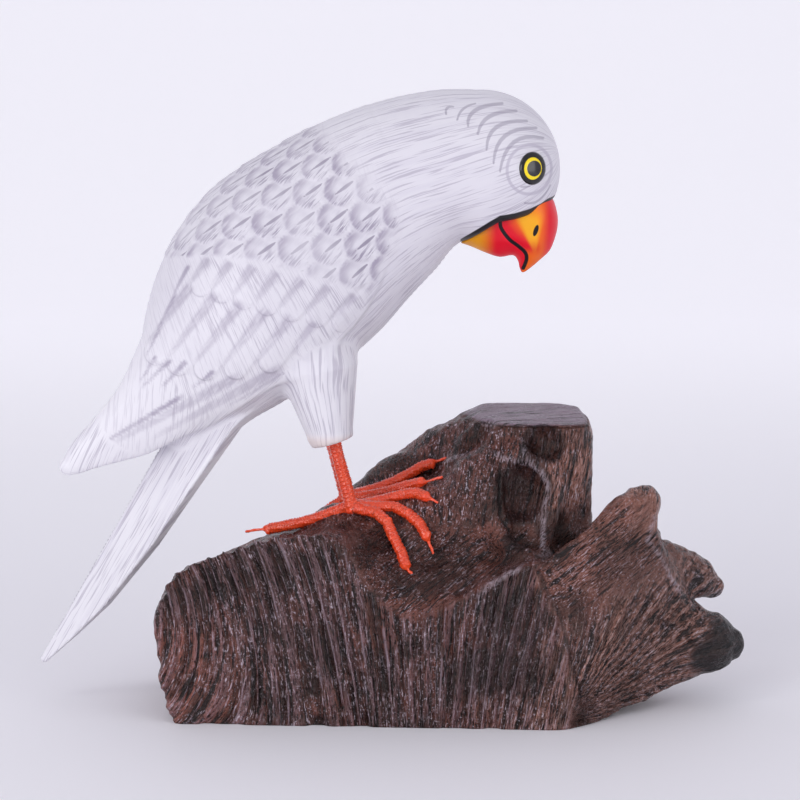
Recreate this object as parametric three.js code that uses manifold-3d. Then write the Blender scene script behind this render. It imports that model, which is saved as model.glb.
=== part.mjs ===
// A carved and painted wooden parrot on a natural root-wood block, in millimetres.
// +X is where the bird looks, -Y is the side that faces the viewer, +Z is up.
// The origin is on the flat underside of the block.
import * as THREE from 'three';
import { mergeVertices } from 'three/addons/utils/BufferGeometryUtils.js';
import Module from 'manifold-3d';

const wasm = await Module();
wasm.setup();

// Driving dimensions of the bird: a spine seen from the side, with what stands above,
// below and beside it at each station: x, z, up, down, half width, offset in y.
const spineStations = [
  [36, 241.5, 35.1, 35, 28, 0],
  [20, 240, 36.8, 31.5, 28.5, 0],
  [0, 233, 39.8, 38.8, 30, 0],
  [-22, 220, 43.7, 44.3, 33, 0],
  [-42, 203.5, 46.6, 47.4, 36, 0],
  [-60, 184, 44.8, 45, 36.5, 0],
  [-75, 163, 39, 37, 32, 0],
  [-87, 143, 28, 25.5, 21, 0],
  [-96, 124, 9, 10, 8, 0],
];

// The wing is a layer over the body with a carved step along this lower edge: x, z
const wingEdge = [
  [-10, 262], [3, 232], [-4, 204], [-14, 182], [-27, 167], [-41, 156], [-58, 146],
  [-75, 134.5], [-89, 127], [-102, 121], [-112, 115.5], [-124, 112], [-138, 108],
  [-149, 103], [-165, 96],
];
const wingStep = { height: 3.6, from: -2, to: 62 };

// Each wing runs on past the body as a free blade: x, z, up, down, half thickness, offset in y.
const wingBlade = [
  [-72, 172, 38, 30, 20, 16],
  [-92, 156, 27, 26, 15, 14],
  [-112, 136, 17, 22, 9, 11.5],
  [-130, 121, 12, 14, 5.6, 9],
  [-143, 112.5, 8, 8, 3.8, 7.5],
  [-148.5, 109.2, 4.6, 4.4, 2.6, 7],
];

// The tail is a blade of roof section. Its ridge is straight, its depth and width taper.
const tailRidgeTop = [-112.9, 108.5];
const tailRidgeTip = [-163.6, 20.5];
const tailDepths = [[-58, 38.5], [-46, 31.3], [-36, 27.6], [0, 24.2], [30, 21.6], [65, 15.8], [85, 9.8],
  [96, 6], [106, 2.6]];
const tailHalfWidths = [[-58, 11], [-36, 15], [0, 14.5], [50, 10.5], [90, 5.5], [106, 2.4]];
const tailEdgeShare = 0.87;
const tailLength = 104;
const tailOverlap = 54;

// The beak: its outline seen from the side, its half width at each height, and how far in it is rounded
const beakOutline = [
  [27.2, 208.7], [31.2, 207.4], [38.8, 204.2], [44.6, 202.5], [50.4, 203.3], [52.7, 200.7], [53.4, 197.5],
  [54.9, 195.5], [58.5, 197.8], [62.9, 201.6], [66.9, 205.6], [69.3, 211.8], [70.3, 217.2], [69.9, 222.5],
  [67.6, 229.2], [62, 236], [46, 232], [32, 220], [27.2, 208.7],
];
const beakHalfWidths = [[192, 2.8], [197, 4.6], [203, 8], [210, 11.6], [218, 14.6], [226, 16.4], [240, 17]];
const beakRounding = 11;

// The head ends in a carved face along this lower edge: x, z
const faceEdge = [
  [26, 207.5], [28.2, 209.2], [32.6, 212.3], [39.2, 216.7], [43.6, 219.3], [49.8, 220.2], [56.4, 221.9],
  [61.7, 224.1], [67.3, 227.6], [75, 233],
];
const faceSlope = 0.42;

const eye = { x: 57.6, y: 21.2, z: 242.8, halfWidth: 7, thickness: 2.8, halfHeight: 7.2, turn: 0.57 };

const thigh = { top: [-36, 154], bottom: [-31.3, 126], topRadius: 17.5, bottomRadius: 10.5 };
const thighOffset = 15;
const farThighShift = -2.6;

// How far neighbouring forms of the bird are rounded into each other
const blends = {
  wing: 0.8, step: 1, blade: 3, roof: 0.8, tailEnd: 1.5, tail: 2.5, face: 2, thigh: 6, toe: 1,
};
const faceFrom = 26.5;

// Feathers lie like tiles, pointing back and down. Each zone starts at a distance along
// the feather direction and has its own length, width and tile thickness.
const featherOrigin = [-27, 232];
const featherZones = [
  { from: -40, length: 11.7, width: 16.4, rise: 0.7 },
  { from: 53, length: 17, width: 12.5, rise: 0.8 },
  { from: 87, length: 25, width: 12, rise: 0.8 },
  { from: 137, length: 60, width: 11, rise: 0.8 },
];
const tileRounding = 1.6;
const tileFade = 1.2;
const featherFade = { below: -4, above: 10 };

// Legs: a straight shank and toes of wrapped wire, each with a bare wire tip.
const shankTop = { x: -30.2, z: 120.9 };
const footHub = { x: -21.8, z: 92.4 };
const shankRadius = 2.9;
const wireRadius = 0.65;
const jointGap = 0.35;
const footRight = {
  hub: [-21.7, -12.5, 91.8],
  toes: [
    [[-17, -15, 90.8], [-10.5, -17, 89.6], [-5.8, -22, 86.4], [-2.7, -26, 80], [0.6, -28, 74],
      [2.2, -31, 69]],
    [[-10.5, -12.5, 91.6], [-2.7, -13, 91.6], [3.6, -17.5, 89.3], [8.9, -21, 85.3], [11.4, -23.3, 80.8]],
    [[-13, -9, 92.6], [-5, -6, 94.2], [2.2, -6.8, 96.3], [7.6, -9, 97.2], [11.6, -12.5, 96]],
    [[-26.5, -11.5, 90.4], [-33.4, -11, 87.6], [-39, -10, 85.4], [-45, -9, 83.6], [-51.6, -8, 82],
      [-59, -7, 80.4]],
  ],
  tips: [[6.6, -33, 62.8], [14.7, -24.5, 73], [16.9, -15.5, 94.2], [-69.4, -6.5, 79]],
};
const footLeft = {
  hub: [-24.6, 13, 90.8],
  toes: [
    [[-18.4, 15, 93], [-8.3, 15.3, 95.6], [-0.2, 16.5, 99.1], [5.1, 17.5, 101.7], [10.1, 18.5, 104.7],
      [14.2, 18.4, 105.9]],
    [[-18.3, 10.3, 91.6], [-5, 8, 94.8], [3.6, 2, 98.6], [9.5, -2, 100.6]],
    [[-16, 18.5, 92.6], [-8, 20, 95], [0, 21.5, 98.2], [5, 22, 100.5], [10, 22.5, 103.3]],
    [[-31, 13.5, 86.6], [-38, 14, 81.6], [-45, 15, 79], [-51, 15.5, 77.6]],
  ],
  tips: [[22.5, 17, 109.6], [18.9, -4.5, 103.4], [22.4, 18.5, 105.8], [-60, 16.5, 76]],
};
const toeRadius = 2.45;
const hubExtra = 0.9;
const toeRootExtra = 0.3;

// The block: a chiselled slab whose top has one height in front and another further back
const slab = {
  left: -108.8, leftLean: 0.08, leanZ: 50, footX: -108, footZ: 22, footLean: 0.36,
  front: -41, frontRun: 0.062, frontFromX: -109.5, frontLean: 0.1, frontZ: 20, back: 40,
  backFall: 0.35, cornerCut: 5, crestFront: -50, crestBack: -24,
};
const crestRows = [[-112, 52], [-100, 60], [-90, 64.5], [-78.6, 68.5], [-59, 77.2], [-45, 79.5], [-25, 83.5],
  [0, 72], [18, 69], [35, 70], [60, 74], [80, 66], [105, 46], [130, 34]];
const frontCrestRows = [[-108, 55], [-105, 61], [-100, 69.5], [-93, 76], [-84, 81], [-64, 85], [-43, 86.5],
  [-32, 82], [-22, 73], [-10, 57], [2, 49], [17, 52], [37, 63], [50, 70], [62, 72], [76, 60], [130, 34]];

// Flat and nearly flat faces of the block, each as a normal and a point on it
const slabEndFaces = [[[0.637, -0.767, -0.078], [76, -50, 5]], [[0.8, 0.6, 0], [122, 0, 0]]];
const stumpFaces = [
  [[1, 0, 0], [87, 0, 0]], [[0.8, 0, 0.6], [83.5, 0, 129]], [[0.6, -0.8, 0], [70, -16, 0]],
  [[0, -0.894, 0.447], [0, -8, 127]], [[0, -0.98, 0.196], [0, -17, 113]],
  [[-0.75, -0.6, 0.28], [37, 8, 128]], [[-0.46, 0, 0.89], [34, 0, 128.5]], [[0, 1, 0], [0, 40, 0]],
  [[0.6, 0.8, 0], [80, 34, 0]],
];
const hornFaces = [
  [[0.416, -0.896, 0.155], [65.5, -47, 77]], [[0.637, -0.767, -0.078], [76, -50, 5]],
  [[0.925, 0, 0.378], [113.5, 0, 86]], [[-0.637, 0.462, 0.617], [65.5, -47, 77]],
  [[0, 1, 0], [0, 4, 0]], [[-1, 0, 0], [40, 0, 0]], [[0.1, 0, 1], [109, 0, 97]],
];
const hornSetBack = 1.8;

// Root limbs, hollows and raised rims as chains of x, y, z, radius
const rootLimbs = [
  [[-26, 22, 62, 14], [-12, 28, 83, 15], [-2, 32, 91, 15], [18, 35, 99, 16], [36, 32, 107, 18]],
  [[-34, -4, 60, 21], [-22, -2, 68, 24], [0, 0, 69, 25], [18, 4, 76, 24]],
  [[10, 10, 64, 26], [33, 6, 80, 26], [44, 8, 97, 21]],
  [[34, -9, 103, 11], [33, -11, 90, 14], [29, -10, 76, 17]],
  [[92, -26, 84, 6], [104, -20, 93, 7], [109, -17, 95, 6.5]],
  [[104, -4, 50, 20], [122, 8, 60, 11], [136, 14, 54, 9.5], [144, 17, 49, 5.5]],
  [[92, 0, 34, 28], [120, 0, 30, 18], [140, -2, 27, 14], [149, -1, 26, 8.5]],
  [[60, 20, 26, 34], [20, 16, 24, 30], [-70, 10, 20, 24]],
];
const hollows = [
  [[64, -12, 120, 8], [60, -11, 115, 6]],
  [[55, -23, 103, 11], [53.5, -22, 97, 10]],
  [[66, -25, 85, 4.5], [69, -18, 85, 5]],
  [[50, -31, 79, 3], [54, -32, 76, 2.5]],
  [[88, -62, 74, 22], [98, -66, 46, 24]],
  [[78, -20, 86, 7], [88, -8, 84, 7]],
  [[10, -66, 76, 24], [34, -70, 84, 24]],
];
const rims = [
  [[44, -8, 114, 2.2], [53, -12, 115.5, 2.6], [62, -14, 111, 2.8], [67.5, -16, 102, 3], [68, -18, 92, 3],
    [65, -22, 82, 3], [62, -27, 74, 3]],
  [[40, -10, 112, 3], [40.5, -18, 101, 4], [40.5, -22, 90, 4], [45, -27, 79, 4], [54, -34, 72, 4]],
  [[36, 8, 124, 2.5], [29, 8, 117, 3.5], [24, 4, 108, 4]],
  [[46, -3, 123, 2.5], [40, -5, 116, 3], [37, -9, 109, 4]],
];
const woodBlends = {
  slab: 4, frontEdge: 2.5, foot: 2, stump: 3, onStump: 5, horn: 4, onHorn: 3, limb: 8, hollow: 4, rim: 6,
  plateau: 1, underside: 2,
};
const plateau = { z: 129.6, slope: 0.07, y: 16 };
const underside = { fromX: 88, rise: 0.25 };
const flutes = [
  { pitch: 9.3, depth: 0.8, lean: 0.16, bend: 0.9, turn: 21 },
  { pitch: 15.7, depth: 1, lean: 0.1, bend: 1.3, turn: 29 },
];
const fluteReach = { yDeep: -22, yFull: -38, zFull: 58, zEnd: 84, xFull: 64, xEnd: 76 };

const cellSizes = { bird: 1.7, beak: 0.9, leg: 0.75, base: 2.2 };
const triangleCounts = { bird: 3500, beak: 380, leg: 760, base: 2700 };
const coarsening = { lengthWeight: 2e-4, upright: 0.3, reach: 1.5 };
const legMargin = 6;
const ground = { centre: [20, 0, -30], size: [400, 300, 60] };
const boxes = {
  bird: { low: [-168, -44, 12], high: [76, 44, 284] },
  beak: { low: [24, -19, 192], high: [74, 19, 236] },
  base: { low: [-118, -62, -8], high: [164, 66, 140] },
};

// Small number helpers
const clamp = (value, low, high) => Math.min(high, Math.max(low, value));
const mix = (a, b, share) => a + (b - a) * share;
const smoothStep = (low, high, value) => {
  const share = clamp((value - low) / (high - low), 0, 1);
  return share * share * (3 - 2 * share);
};

// The lesser of two distances, rounded over a blend length, and the greater in the same way
function smoothMin(a, b, blend) {
  const share = clamp(0.5 + (b - a) / (2 * blend), 0, 1);
  return mix(b, a, share) - blend * share * (1 - share);
}
const smoothMax = (a, b, blend) => -smoothMin(-a, -b, blend);

// A smooth curve through rows of numbers, with some steps between each pair of rows
function smoothRows(rows, steps) {
  const columns = rows[0].length;
  const result = [];
  for (let i = 0; i < rows.length - 1; i++) {
    const before = rows[Math.max(i - 1, 0)];
    const after = rows[Math.min(i + 2, rows.length - 1)];
    for (let step = 0; step < steps; step++) {
      const t = step / steps;
      const row = [];
      for (let c = 0; c < columns; c++) {
        const slopeA = (rows[i + 1][c] - before[c]) / 2;
        const slopeB = (after[c] - rows[i][c]) / 2;
        const rise = rows[i + 1][c] - rows[i][c];
        row.push(rows[i][c] + slopeA * t + (3 * rise - 2 * slopeA - slopeB) * t * t
          + (slopeA + slopeB - 2 * rise) * t * t * t);
      }
      result.push(row);
    }
  }
  result.push(rows[rows.length - 1]);
  return result;
}

// A value that changes smoothly between rows of place and value
function valueAt(rows, place) {
  let i = 0;
  while (i < rows.length - 2 && place > rows[i + 1][0]) i++;
  const share = clamp((place - rows[i][0]) / (rows[i + 1][0] - rows[i][0]), 0, 1);
  return mix(rows[i][1], rows[i + 1][1], share);
}

// The nearest place on a side-view line: offset to its left, length past its ends, values there
function nearestOnLine(rows, x, z) {
  let best = 0;
  let bestDistance = Infinity;
  for (let i = 0; i < rows.length - 1; i++) {
    const [ax, az] = rows[i];
    const dx = rows[i + 1][0] - ax;
    const dz = rows[i + 1][1] - az;
    const raw = ((x - ax) * dx + (z - az) * dz) / (dx * dx + dz * dz);
    const t = clamp(raw, 0, 1);
    const distance = (x - ax - dx * t) ** 2 + (z - az - dz * t) ** 2;
    if (distance < bestDistance) {
      bestDistance = distance;
      best = i;
    }
  }
  const i = best;
  const dx = rows[i + 1][0] - rows[i][0];
  const dz = rows[i + 1][1] - rows[i][1];
  const raw = ((x - rows[i][0]) * dx + (z - rows[i][1]) * dz) / (dx * dx + dz * dz);
  const t = clamp(raw, 0, 1);
  const length = Math.hypot(dx, dz);
  const side = ((x - rows[i][0]) * dz - (z - rows[i][1]) * dx) / length;
  const past = (raw - t) * length;
  const values = rows[i].map((value, c) => mix(value, rows[i + 1][c], t));
  return { side, past, values };
}

// Distance to a chain of balls joined by cones, in the bird's and the block's limbs
function chainDistance(chain, x, y, z) {
  let best = Infinity;
  for (let i = 0; i < Math.max(chain.length - 1, 1); i++) {
    const [ax, ay, az, ar] = chain[i];
    const [bx, by, bz, br] = chain[Math.min(i + 1, chain.length - 1)];
    const dx = bx - ax;
    const dy = by - ay;
    const dz = bz - az;
    const square = dx * dx + dy * dy + dz * dz || 1;
    const t = clamp(((x - ax) * dx + (y - ay) * dy + (z - az) * dz) / square, 0, 1);
    const square2 = (x - ax - dx * t) ** 2 + (y - ay - dy * t) ** 2 + (z - az - dz * t) ** 2;
    best = Math.min(best, Math.sqrt(square2) - mix(ar, br, t));
  }
  return best;
}

// An oval form along a side-view spine whose rows are x, z, up, down, half width, offset in y
function spineSection(rows, x, z) {
  const { side, past, values } = nearestOnLine(rows, x, z);
  const radial = Math.hypot(side, past);
  const upShare = 0.5 + 0.5 * side / (radial + 1e-6);
  const reach = mix(values[3], values[2], smoothStep(0.2, 0.8, upShare));
  const halfWidth = values[4];
  const scale = Math.min(reach, halfWidth);
  const share = (radial / reach) ** 2;
  return (y) => (Math.sqrt(share + ((y - values[5]) / halfWidth) ** 2) - 1) * scale;
}

// The six tetrahedra of a cube, as corners coded 1 for x, 2 for y, 4 for z, all right-handed
const cubeTetrahedra = [[0, 1, 3, 7], [0, 2, 6, 7], [0, 4, 5, 7], [0, 1, 7, 5], [0, 2, 7, 3], [0, 4, 7, 6]];
const evenOrders = [[0, 1, 2, 3], [1, 0, 3, 2], [2, 0, 1, 3], [3, 0, 2, 1],
  [0, 2, 3, 1], [0, 3, 1, 2], [1, 2, 0, 3], [1, 3, 2, 0], [2, 3, 0, 1]];

// Triangles of one tetrahedron, as pairs of its corners, for each set of corners inside
const tetrahedronCuts = new Map();
for (const [i, j, k, l] of evenOrders.slice(0, 4)) {
  tetrahedronCuts.set(1 << i, [[i, j], [i, k], [i, l]]);
  tetrahedronCuts.set(15 - (1 << i), [[i, j], [i, l], [i, k]]);
}
for (const [i, j, k, l] of [evenOrders[0], ...evenOrders.slice(4)]) {
  tetrahedronCuts.set((1 << i) | (1 << j), [[i, k], [i, l], [j, l], [i, k], [j, l], [j, k]]);
}

// Field values on a grid, closed at its border. A field gives, for an x and a z, a distance over y.
function sampleField(field, low, counts, cell) {
  const [nx, ny, nz] = counts;
  const values = new Float32Array(nx * ny * nz);
  for (let k = 0; k < nz; k++) {
    for (let i = 0; i < nx; i++) {
      const distance = field(low[0] + i * cell, low[2] + k * cell);
      for (let j = 0; j < ny; j++) {
        let value = distance(low[1] + j * cell);
        if (Math.abs(value) < 1e-2) value = 1e-2;
        const onBorder = i % (nx - 1) === 0 || j % (ny - 1) === 0 || k % (nz - 1) === 0;
        values[i + nx * (j + ny * k)] = onBorder ? Math.max(value, cell / 2) : value;
      }
    }
  }
  return values;
}

// The surface where a field is zero, cut tetrahedron by tetrahedron, so it is always closed
function surfaceOf(field, { low, high }, cell) {
  const counts = low.map((value, axis) => Math.ceil((high[axis] - value) / cell) + 1);
  const [nx, ny, nz] = counts;
  const values = sampleField(field, low, counts, cell);
  const steps = [0, 1, 2, 3, 4, 5, 6, 7].map((c) => (c & 1) + nx * (((c >> 1) & 1) + ny * (c >> 2)));
  const vertices = [];
  const triangles = [];
  const known = new Map();
  for (let k = 0; k < nz - 1; k++) {
    for (let j = 0; j < ny - 1; j++) {
      for (let i = 0; i < nx - 1; i++) {
        const base = i + nx * (j + ny * k);
        let inside = 0;
        for (const step of steps) if (values[base + step] < 0) inside++;
        if (inside === 0 || inside === 8) continue;
        const vertexBetween = (a, b) => {
          const first = Math.min(a, b);
          const second = Math.max(a, b);
          const key = (base + steps[first]) * 8 + (second - first);
          if (!known.has(key)) {
            const t = values[base + steps[first]]
              / (values[base + steps[first]] - values[base + steps[second]]);
            known.set(key, vertices.length);
            vertices.push([i, j, k].map((index, axis) => low[axis]
              + cell * (index + mix((first >> axis) & 1, (second >> axis) & 1, t))));
          }
          return known.get(key);
        };
        for (const corners of cubeTetrahedra) {
          let mask = 0;
          corners.forEach((c, bit) => { if (values[base + steps[c]] < 0) mask |= 1 << bit; });
          const cuts = tetrahedronCuts.get(mask) ?? [];
          for (let t = 0; t < cuts.length; t += 3) {
            triangles.push([0, 1, 2].map((n) => vertexBetween(...cuts[t + n].map((bit) => corners[bit]))));
          }
        }
      }
    }
  }
  return { vertices, triangles };
}

// A heap of edges with the cheapest on top
class EdgeHeap {
  constructor() {
    this.items = [];
  }

  push(item) {
    const items = this.items;
    let at = items.push(item) - 1;
    while (at > 0) {
      const parent = (at - 1) >> 1;
      if (items[parent].cost <= item.cost) break;
      items[at] = items[parent];
      at = parent;
    }
    items[at] = item;
  }

  pop() {
    const items = this.items;
    const top = items[0];
    const last = items.pop();
    if (items.length === 0) return top;
    let at = 0;
    for (;;) {
      let child = at * 2 + 1;
      if (child >= items.length) break;
      if (child + 1 < items.length && items[child + 1].cost < items[child].cost) child++;
      if (items[child].cost >= last.cost) break;
      items[at] = items[child];
      at = child;
    }
    items[at] = last;
    return top;
  }
}

// Fewer, larger triangles where the surface is plain: edges are folded away, least error first
function coarsen({ vertices, triangles }, wanted) {
  const faces = triangles.map((face) => [...face]);
  const around = vertices.map(() => new Set());
  faces.forEach((face, index) => face.forEach((v) => around[v].add(index)));
  const point = (v) => vertices[v];
  const normalOf = (a, b, c) => {
    const u = [b[0] - a[0], b[1] - a[1], b[2] - a[2]];
    const w = [c[0] - a[0], c[1] - a[1], c[2] - a[2]];
    return [u[1] * w[2] - u[2] * w[1], u[2] * w[0] - u[0] * w[2], u[0] * w[1] - u[1] * w[0]];
  };
  const quadrics = vertices.map(() => new Float64Array(10));
  for (const face of faces) {
    const n = normalOf(...face.map(point));
    const size = Math.hypot(...n) || 1e-12;
    const [a, b, c] = n.map((value) => value / size);
    const [px, py, pz] = point(face[0]);
    const d = -(a * px + b * py + c * pz);
    const plane = [a * a, a * b, a * c, a * d, b * b, b * c, b * d, c * c, c * d, d * d];
    for (const v of face) plane.forEach((value, k) => { quadrics[v][k] += value * size; });
  }
  const errorAt = (q, [x, y, z]) => q[0] * x * x + 2 * q[1] * x * y + 2 * q[2] * x * z + 2 * q[3] * x
    + q[4] * y * y + 2 * q[5] * y * z + 2 * q[6] * y + q[7] * z * z + 2 * q[8] * z + q[9];
  const bestPlace = (q, a, b) => {
    const middle = a.map((value, axis) => (value + b[axis]) / 2);
    const det = q[0] * (q[4] * q[7] - q[5] * q[5]) - q[1] * (q[1] * q[7] - q[5] * q[2])
      + q[2] * (q[1] * q[5] - q[4] * q[2]);
    const choices = [a, b, middle];
    const reach = Math.hypot(a[0] - b[0], a[1] - b[1], a[2] - b[2]);
    if (Math.abs(det) > 1e-4 * Math.max(q[0] + q[4] + q[7], 1e-9) ** 3) {
      const solved = [
        -(q[3] * (q[4] * q[7] - q[5] * q[5]) - q[1] * (q[6] * q[7] - q[5] * q[8])
          + q[2] * (q[6] * q[5] - q[4] * q[8])) / det,
        -(q[0] * (q[6] * q[7] - q[5] * q[8]) - q[3] * (q[1] * q[7] - q[5] * q[2])
          + q[2] * (q[1] * q[8] - q[6] * q[2])) / det,
        -(q[0] * (q[4] * q[8] - q[6] * q[5]) - q[1] * (q[1] * q[8] - q[6] * q[2])
          + q[3] * (q[1] * q[5] - q[4] * q[2])) / det,
      ];
      const off = Math.hypot(...solved.map((value, axis) => value - middle[axis]));
      if (off < reach * coarsening.reach) choices.push(solved);
    }
    let best = choices[0];
    for (const choice of choices) if (errorAt(q, choice) < errorAt(q, best)) best = choice;
    return best;
  };
  const stamps = new Int32Array(vertices.length);
  const heap = new EdgeHeap();
  const offer = (a, b) => {
    const q = quadrics[a].map((value, k) => value + quadrics[b][k]);
    const place = bestPlace(q, point(a), point(b));
    const length = Math.hypot(...place.map((value, axis) => vertices[a][axis] - vertices[b][axis]));
    const cost = Math.max(errorAt(q, place), 0) + coarsening.lengthWeight * length ** 3;
    heap.push({ cost, a, b, place, stampA: stamps[a], stampB: stamps[b] });
  };
  const neighbours = (v) => {
    const result = new Set();
    for (const f of around[v]) for (const other of faces[f]) if (other !== v) result.add(other);
    return result;
  };
  const staysUpright = (v, other, place) => {
    for (const f of around[v]) {
      const face = faces[f];
      if (face.includes(other)) continue;
      const before = normalOf(...face.map(point));
      const after = normalOf(...face.map((u) => (u === v ? place : point(u))));
      const dot = before[0] * after[0] + before[1] * after[1] + before[2] * after[2];
      const sizes = Math.hypot(...before) * Math.hypot(...after);
      if (dot < coarsening.upright * sizes || sizes === 0) return false;
    }
    return true;
  };
  for (const [a, b, c] of faces) {
    for (const [u, v] of [[a, b], [b, c], [c, a]]) if (u < v) offer(u, v);
  }
  let left = faces.length;
  while (left > wanted && heap.items.length > 0) {
    const { a, b, place, stampA, stampB } = heap.pop();
    if (stamps[a] !== stampA || stamps[b] !== stampB) continue;
    const ringA = neighbours(a);
    const shared = [...neighbours(b)].filter((v) => ringA.has(v));
    if (shared.length !== 2) continue;
    if (!staysUpright(a, b, place) || !staysUpright(b, a, place)) continue;
    vertices[a] = place;
    quadrics[b].forEach((value, k) => { quadrics[a][k] += value; });
    for (const f of [...around[b]]) {
      const face = faces[f];
      if (face.includes(a)) {
        face.forEach((v) => around[v].delete(f));
        faces[f] = null;
        left--;
      } else {
        face[face.indexOf(b)] = a;
        around[a].add(f);
      }
    }
    around[b].clear();
    stamps[a]++;
    stamps[b] = -1;
    for (const v of neighbours(a)) offer(a, v);
  }
  return { vertices, triangles: faces.filter((face) => face !== null) };
}

// A closed solid from a field, whose triangles are as many as wanted
function solidOf(field, box, cell, wanted) {
  const { vertices, triangles } = coarsen(surfaceOf(field, box, cell), wanted);
  const used = new Map();
  const places = [];
  for (const v of triangles.flat()) {
    if (used.has(v)) continue;
    used.set(v, used.size);
    places.push(...vertices[v]);
  }
  return new wasm.Manifold(new wasm.Mesh({
    numProp: 3,
    vertProperties: new Float32Array(places),
    triVerts: new Uint32Array(triangles.flat().map((v) => used.get(v))),
  }));
}

// A closed three.js geometry as a solid, its shared corners merged
function closedSolid(geometry) {
  geometry.deleteAttribute('normal');
  geometry.deleteAttribute('uv');
  const merged = mergeVertices(geometry, 1e-4);
  const index = Array.from(merged.index.array);
  const corners = index.filter((v, n) => {
    const [a, b, c] = index.slice(n - (n % 3), n - (n % 3) + 3);
    return a !== b && b !== c && c !== a;
  });
  return new wasm.Manifold(new wasm.Mesh({
    numProp: 3,
    vertProperties: new Float32Array(merged.getAttribute('position').array),
    triVerts: new Uint32Array(corners),
  }));
}

// A block, used only to saw a flat face
function sawBlock(centre, size, tilt = 0) {
  const block = new THREE.BoxGeometry(...size);
  block.rotateY(tilt);
  block.translate(...centre);
  return closedSolid(block);
}

function meshOf(name, solid, finish) {
  const { numProp, vertProperties, triVerts } = solid.getMesh();
  const geometry = new THREE.BufferGeometry();
  const places = new Float32Array((vertProperties.length / numProp) * 3);
  for (let v = 0; v < places.length / 3; v++) {
    for (let axis = 0; axis < 3; axis++) places[v * 3 + axis] = vertProperties[v * numProp + axis];
  }
  geometry.setAttribute('position', new THREE.BufferAttribute(places, 3));
  geometry.setIndex(new THREE.BufferAttribute(triVerts, 1));
  geometry.computeVertexNormals();
  const mesh = new THREE.Mesh(geometry, new THREE.MeshStandardMaterial(finish));
  mesh.name = name;
  return mesh;
}

// The body, head included, with feather tiles and the stepped wing layer
const spine = smoothRows(spineStations, 6);
const wingLine = smoothRows(wingEdge, 2);
const blades = smoothRows(wingBlade, 4);

const featherPlace = (x, z) => {
  const dx = x - featherOrigin[0];
  const dz = z - featherOrigin[1];
  return { along: (-dx - dz) * Math.SQRT1_2, across: (dx - dz) * Math.SQRT1_2 };
};

function featherRelief(x, z) {
  const { along, across } = featherPlace(x, z);
  let zone = featherZones[0];
  for (const next of featherZones) if (along >= next.from) zone = next;
  const row = Math.floor((along - zone.from) / zone.length);
  for (let r = row - 1; r <= row + 1; r++) {
    const shift = (r & 1) / 2;
    const column = Math.round(across / zone.width - shift) + shift;
    const side = (across - column * zone.width) / zone.width;
    const end = zone.from + (r + 1) * zone.length - zone.width * tileRounding * side * side;
    if (along < end) return zone.rise * clamp(1 - (end - along) / (zone.length * tileFade), 0, 1);
  }
  return 0;
}

function tailSection(x, z) {
  const runX = tailRidgeTip[0] - tailRidgeTop[0];
  const runZ = tailRidgeTip[1] - tailRidgeTop[1];
  const length = Math.hypot(runX, runZ);
  const along = ((x - tailRidgeTop[0]) * runX + (z - tailRidgeTop[1]) * runZ) / length;
  const below = ((z - tailRidgeTop[1]) * runX - (x - tailRidgeTop[0]) * runZ) / length;
  const depth = valueAt(tailDepths, along);
  const halfWidth = valueAt(tailHalfWidths, along);
  const edge = depth * tailEdgeShare;
  const keelDepth = depth - edge;
  const roofSize = Math.hypot(edge, halfWidth);
  const keelSize = Math.hypot(halfWidth, keelDepth);
  const ends = Math.max(along - tailLength, -tailOverlap - along);
  return (side) => {
    const roof = (side * edge - below * halfWidth) / roofSize;
    const keel = ((below - edge) * halfWidth + (side - halfWidth) * keelDepth) / keelSize;
    return smoothMax(smoothMax(roof, keel, blends.roof), ends, blends.tailEnd);
  };
}

function birdColumn(x, z) {
  const body = spineSection(spine, x, z);
  const aboveEdge = nearestOnLine(wingLine, x, z).side;
  const step = wingStep.height * smoothStep(wingStep.from, wingStep.to, featherPlace(x, z).along);
  const relief = featherRelief(x, z) * smoothStep(featherFade.below, featherFade.above, aboveEdge)
    * smoothStep(0, 1, step);
  const blade = spineSection(blades, x, z);
  const tail = tailSection(x, z);
  const faceCut = (valueAt(faceEdge, x) - z) / Math.hypot(1, faceSlope);
  return (y) => {
    const side = Math.abs(y);
    const bodyForm = body(y);
    let form = smoothMin(bodyForm, smoothMax(bodyForm - step - relief, -aboveEdge, blends.step),
      blends.wing);
    form = smoothMin(form, smoothMax(blade(side) - relief, -aboveEdge, blends.step), blends.blade);
    form = smoothMin(form, tail(side), blends.tail);
    if (x > faceFrom) form = smoothMax(form, faceCut, blends.face);
    const shift = y > 0 ? farThighShift : 0;
    const leg = chainDistance([[thigh.top[0] + shift, thighOffset, thigh.top[1], thigh.topRadius],
      [thigh.bottom[0] + shift, thighOffset, thigh.bottom[1], thigh.bottomRadius]], x, side, z);
    return smoothMin(form, leg, blends.thigh);
  };
}

// How far a place lies inside a closed outline seen from the side, negative outside it
function insideOutline(outline, x, z) {
  let nearest = Infinity;
  let inside = false;
  for (let i = 0; i < outline.length - 1; i++) {
    const [ax, az] = outline[i];
    const dx = outline[i + 1][0] - ax;
    const dz = outline[i + 1][1] - az;
    const t = clamp(((x - ax) * dx + (z - az) * dz) / (dx * dx + dz * dz), 0, 1);
    nearest = Math.min(nearest, Math.hypot(x - ax - dx * t, z - az - dz * t));
    const crosses = (az > z) !== (az + dz > z);
    if (crosses && x < ax + ((z - az) / dz) * dx) inside = !inside;
  }
  return inside ? nearest : -nearest;
}

const beakLine = smoothRows(beakOutline, 3);

function beakColumn(x, z) {
  const halfWidth = valueAt(beakHalfWidths, z);
  const short = Math.max(beakRounding - insideOutline(beakLine, x, z), 0);
  return (y) => Math.hypot(short, (y * beakRounding) / halfWidth) - beakRounding;
}

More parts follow.
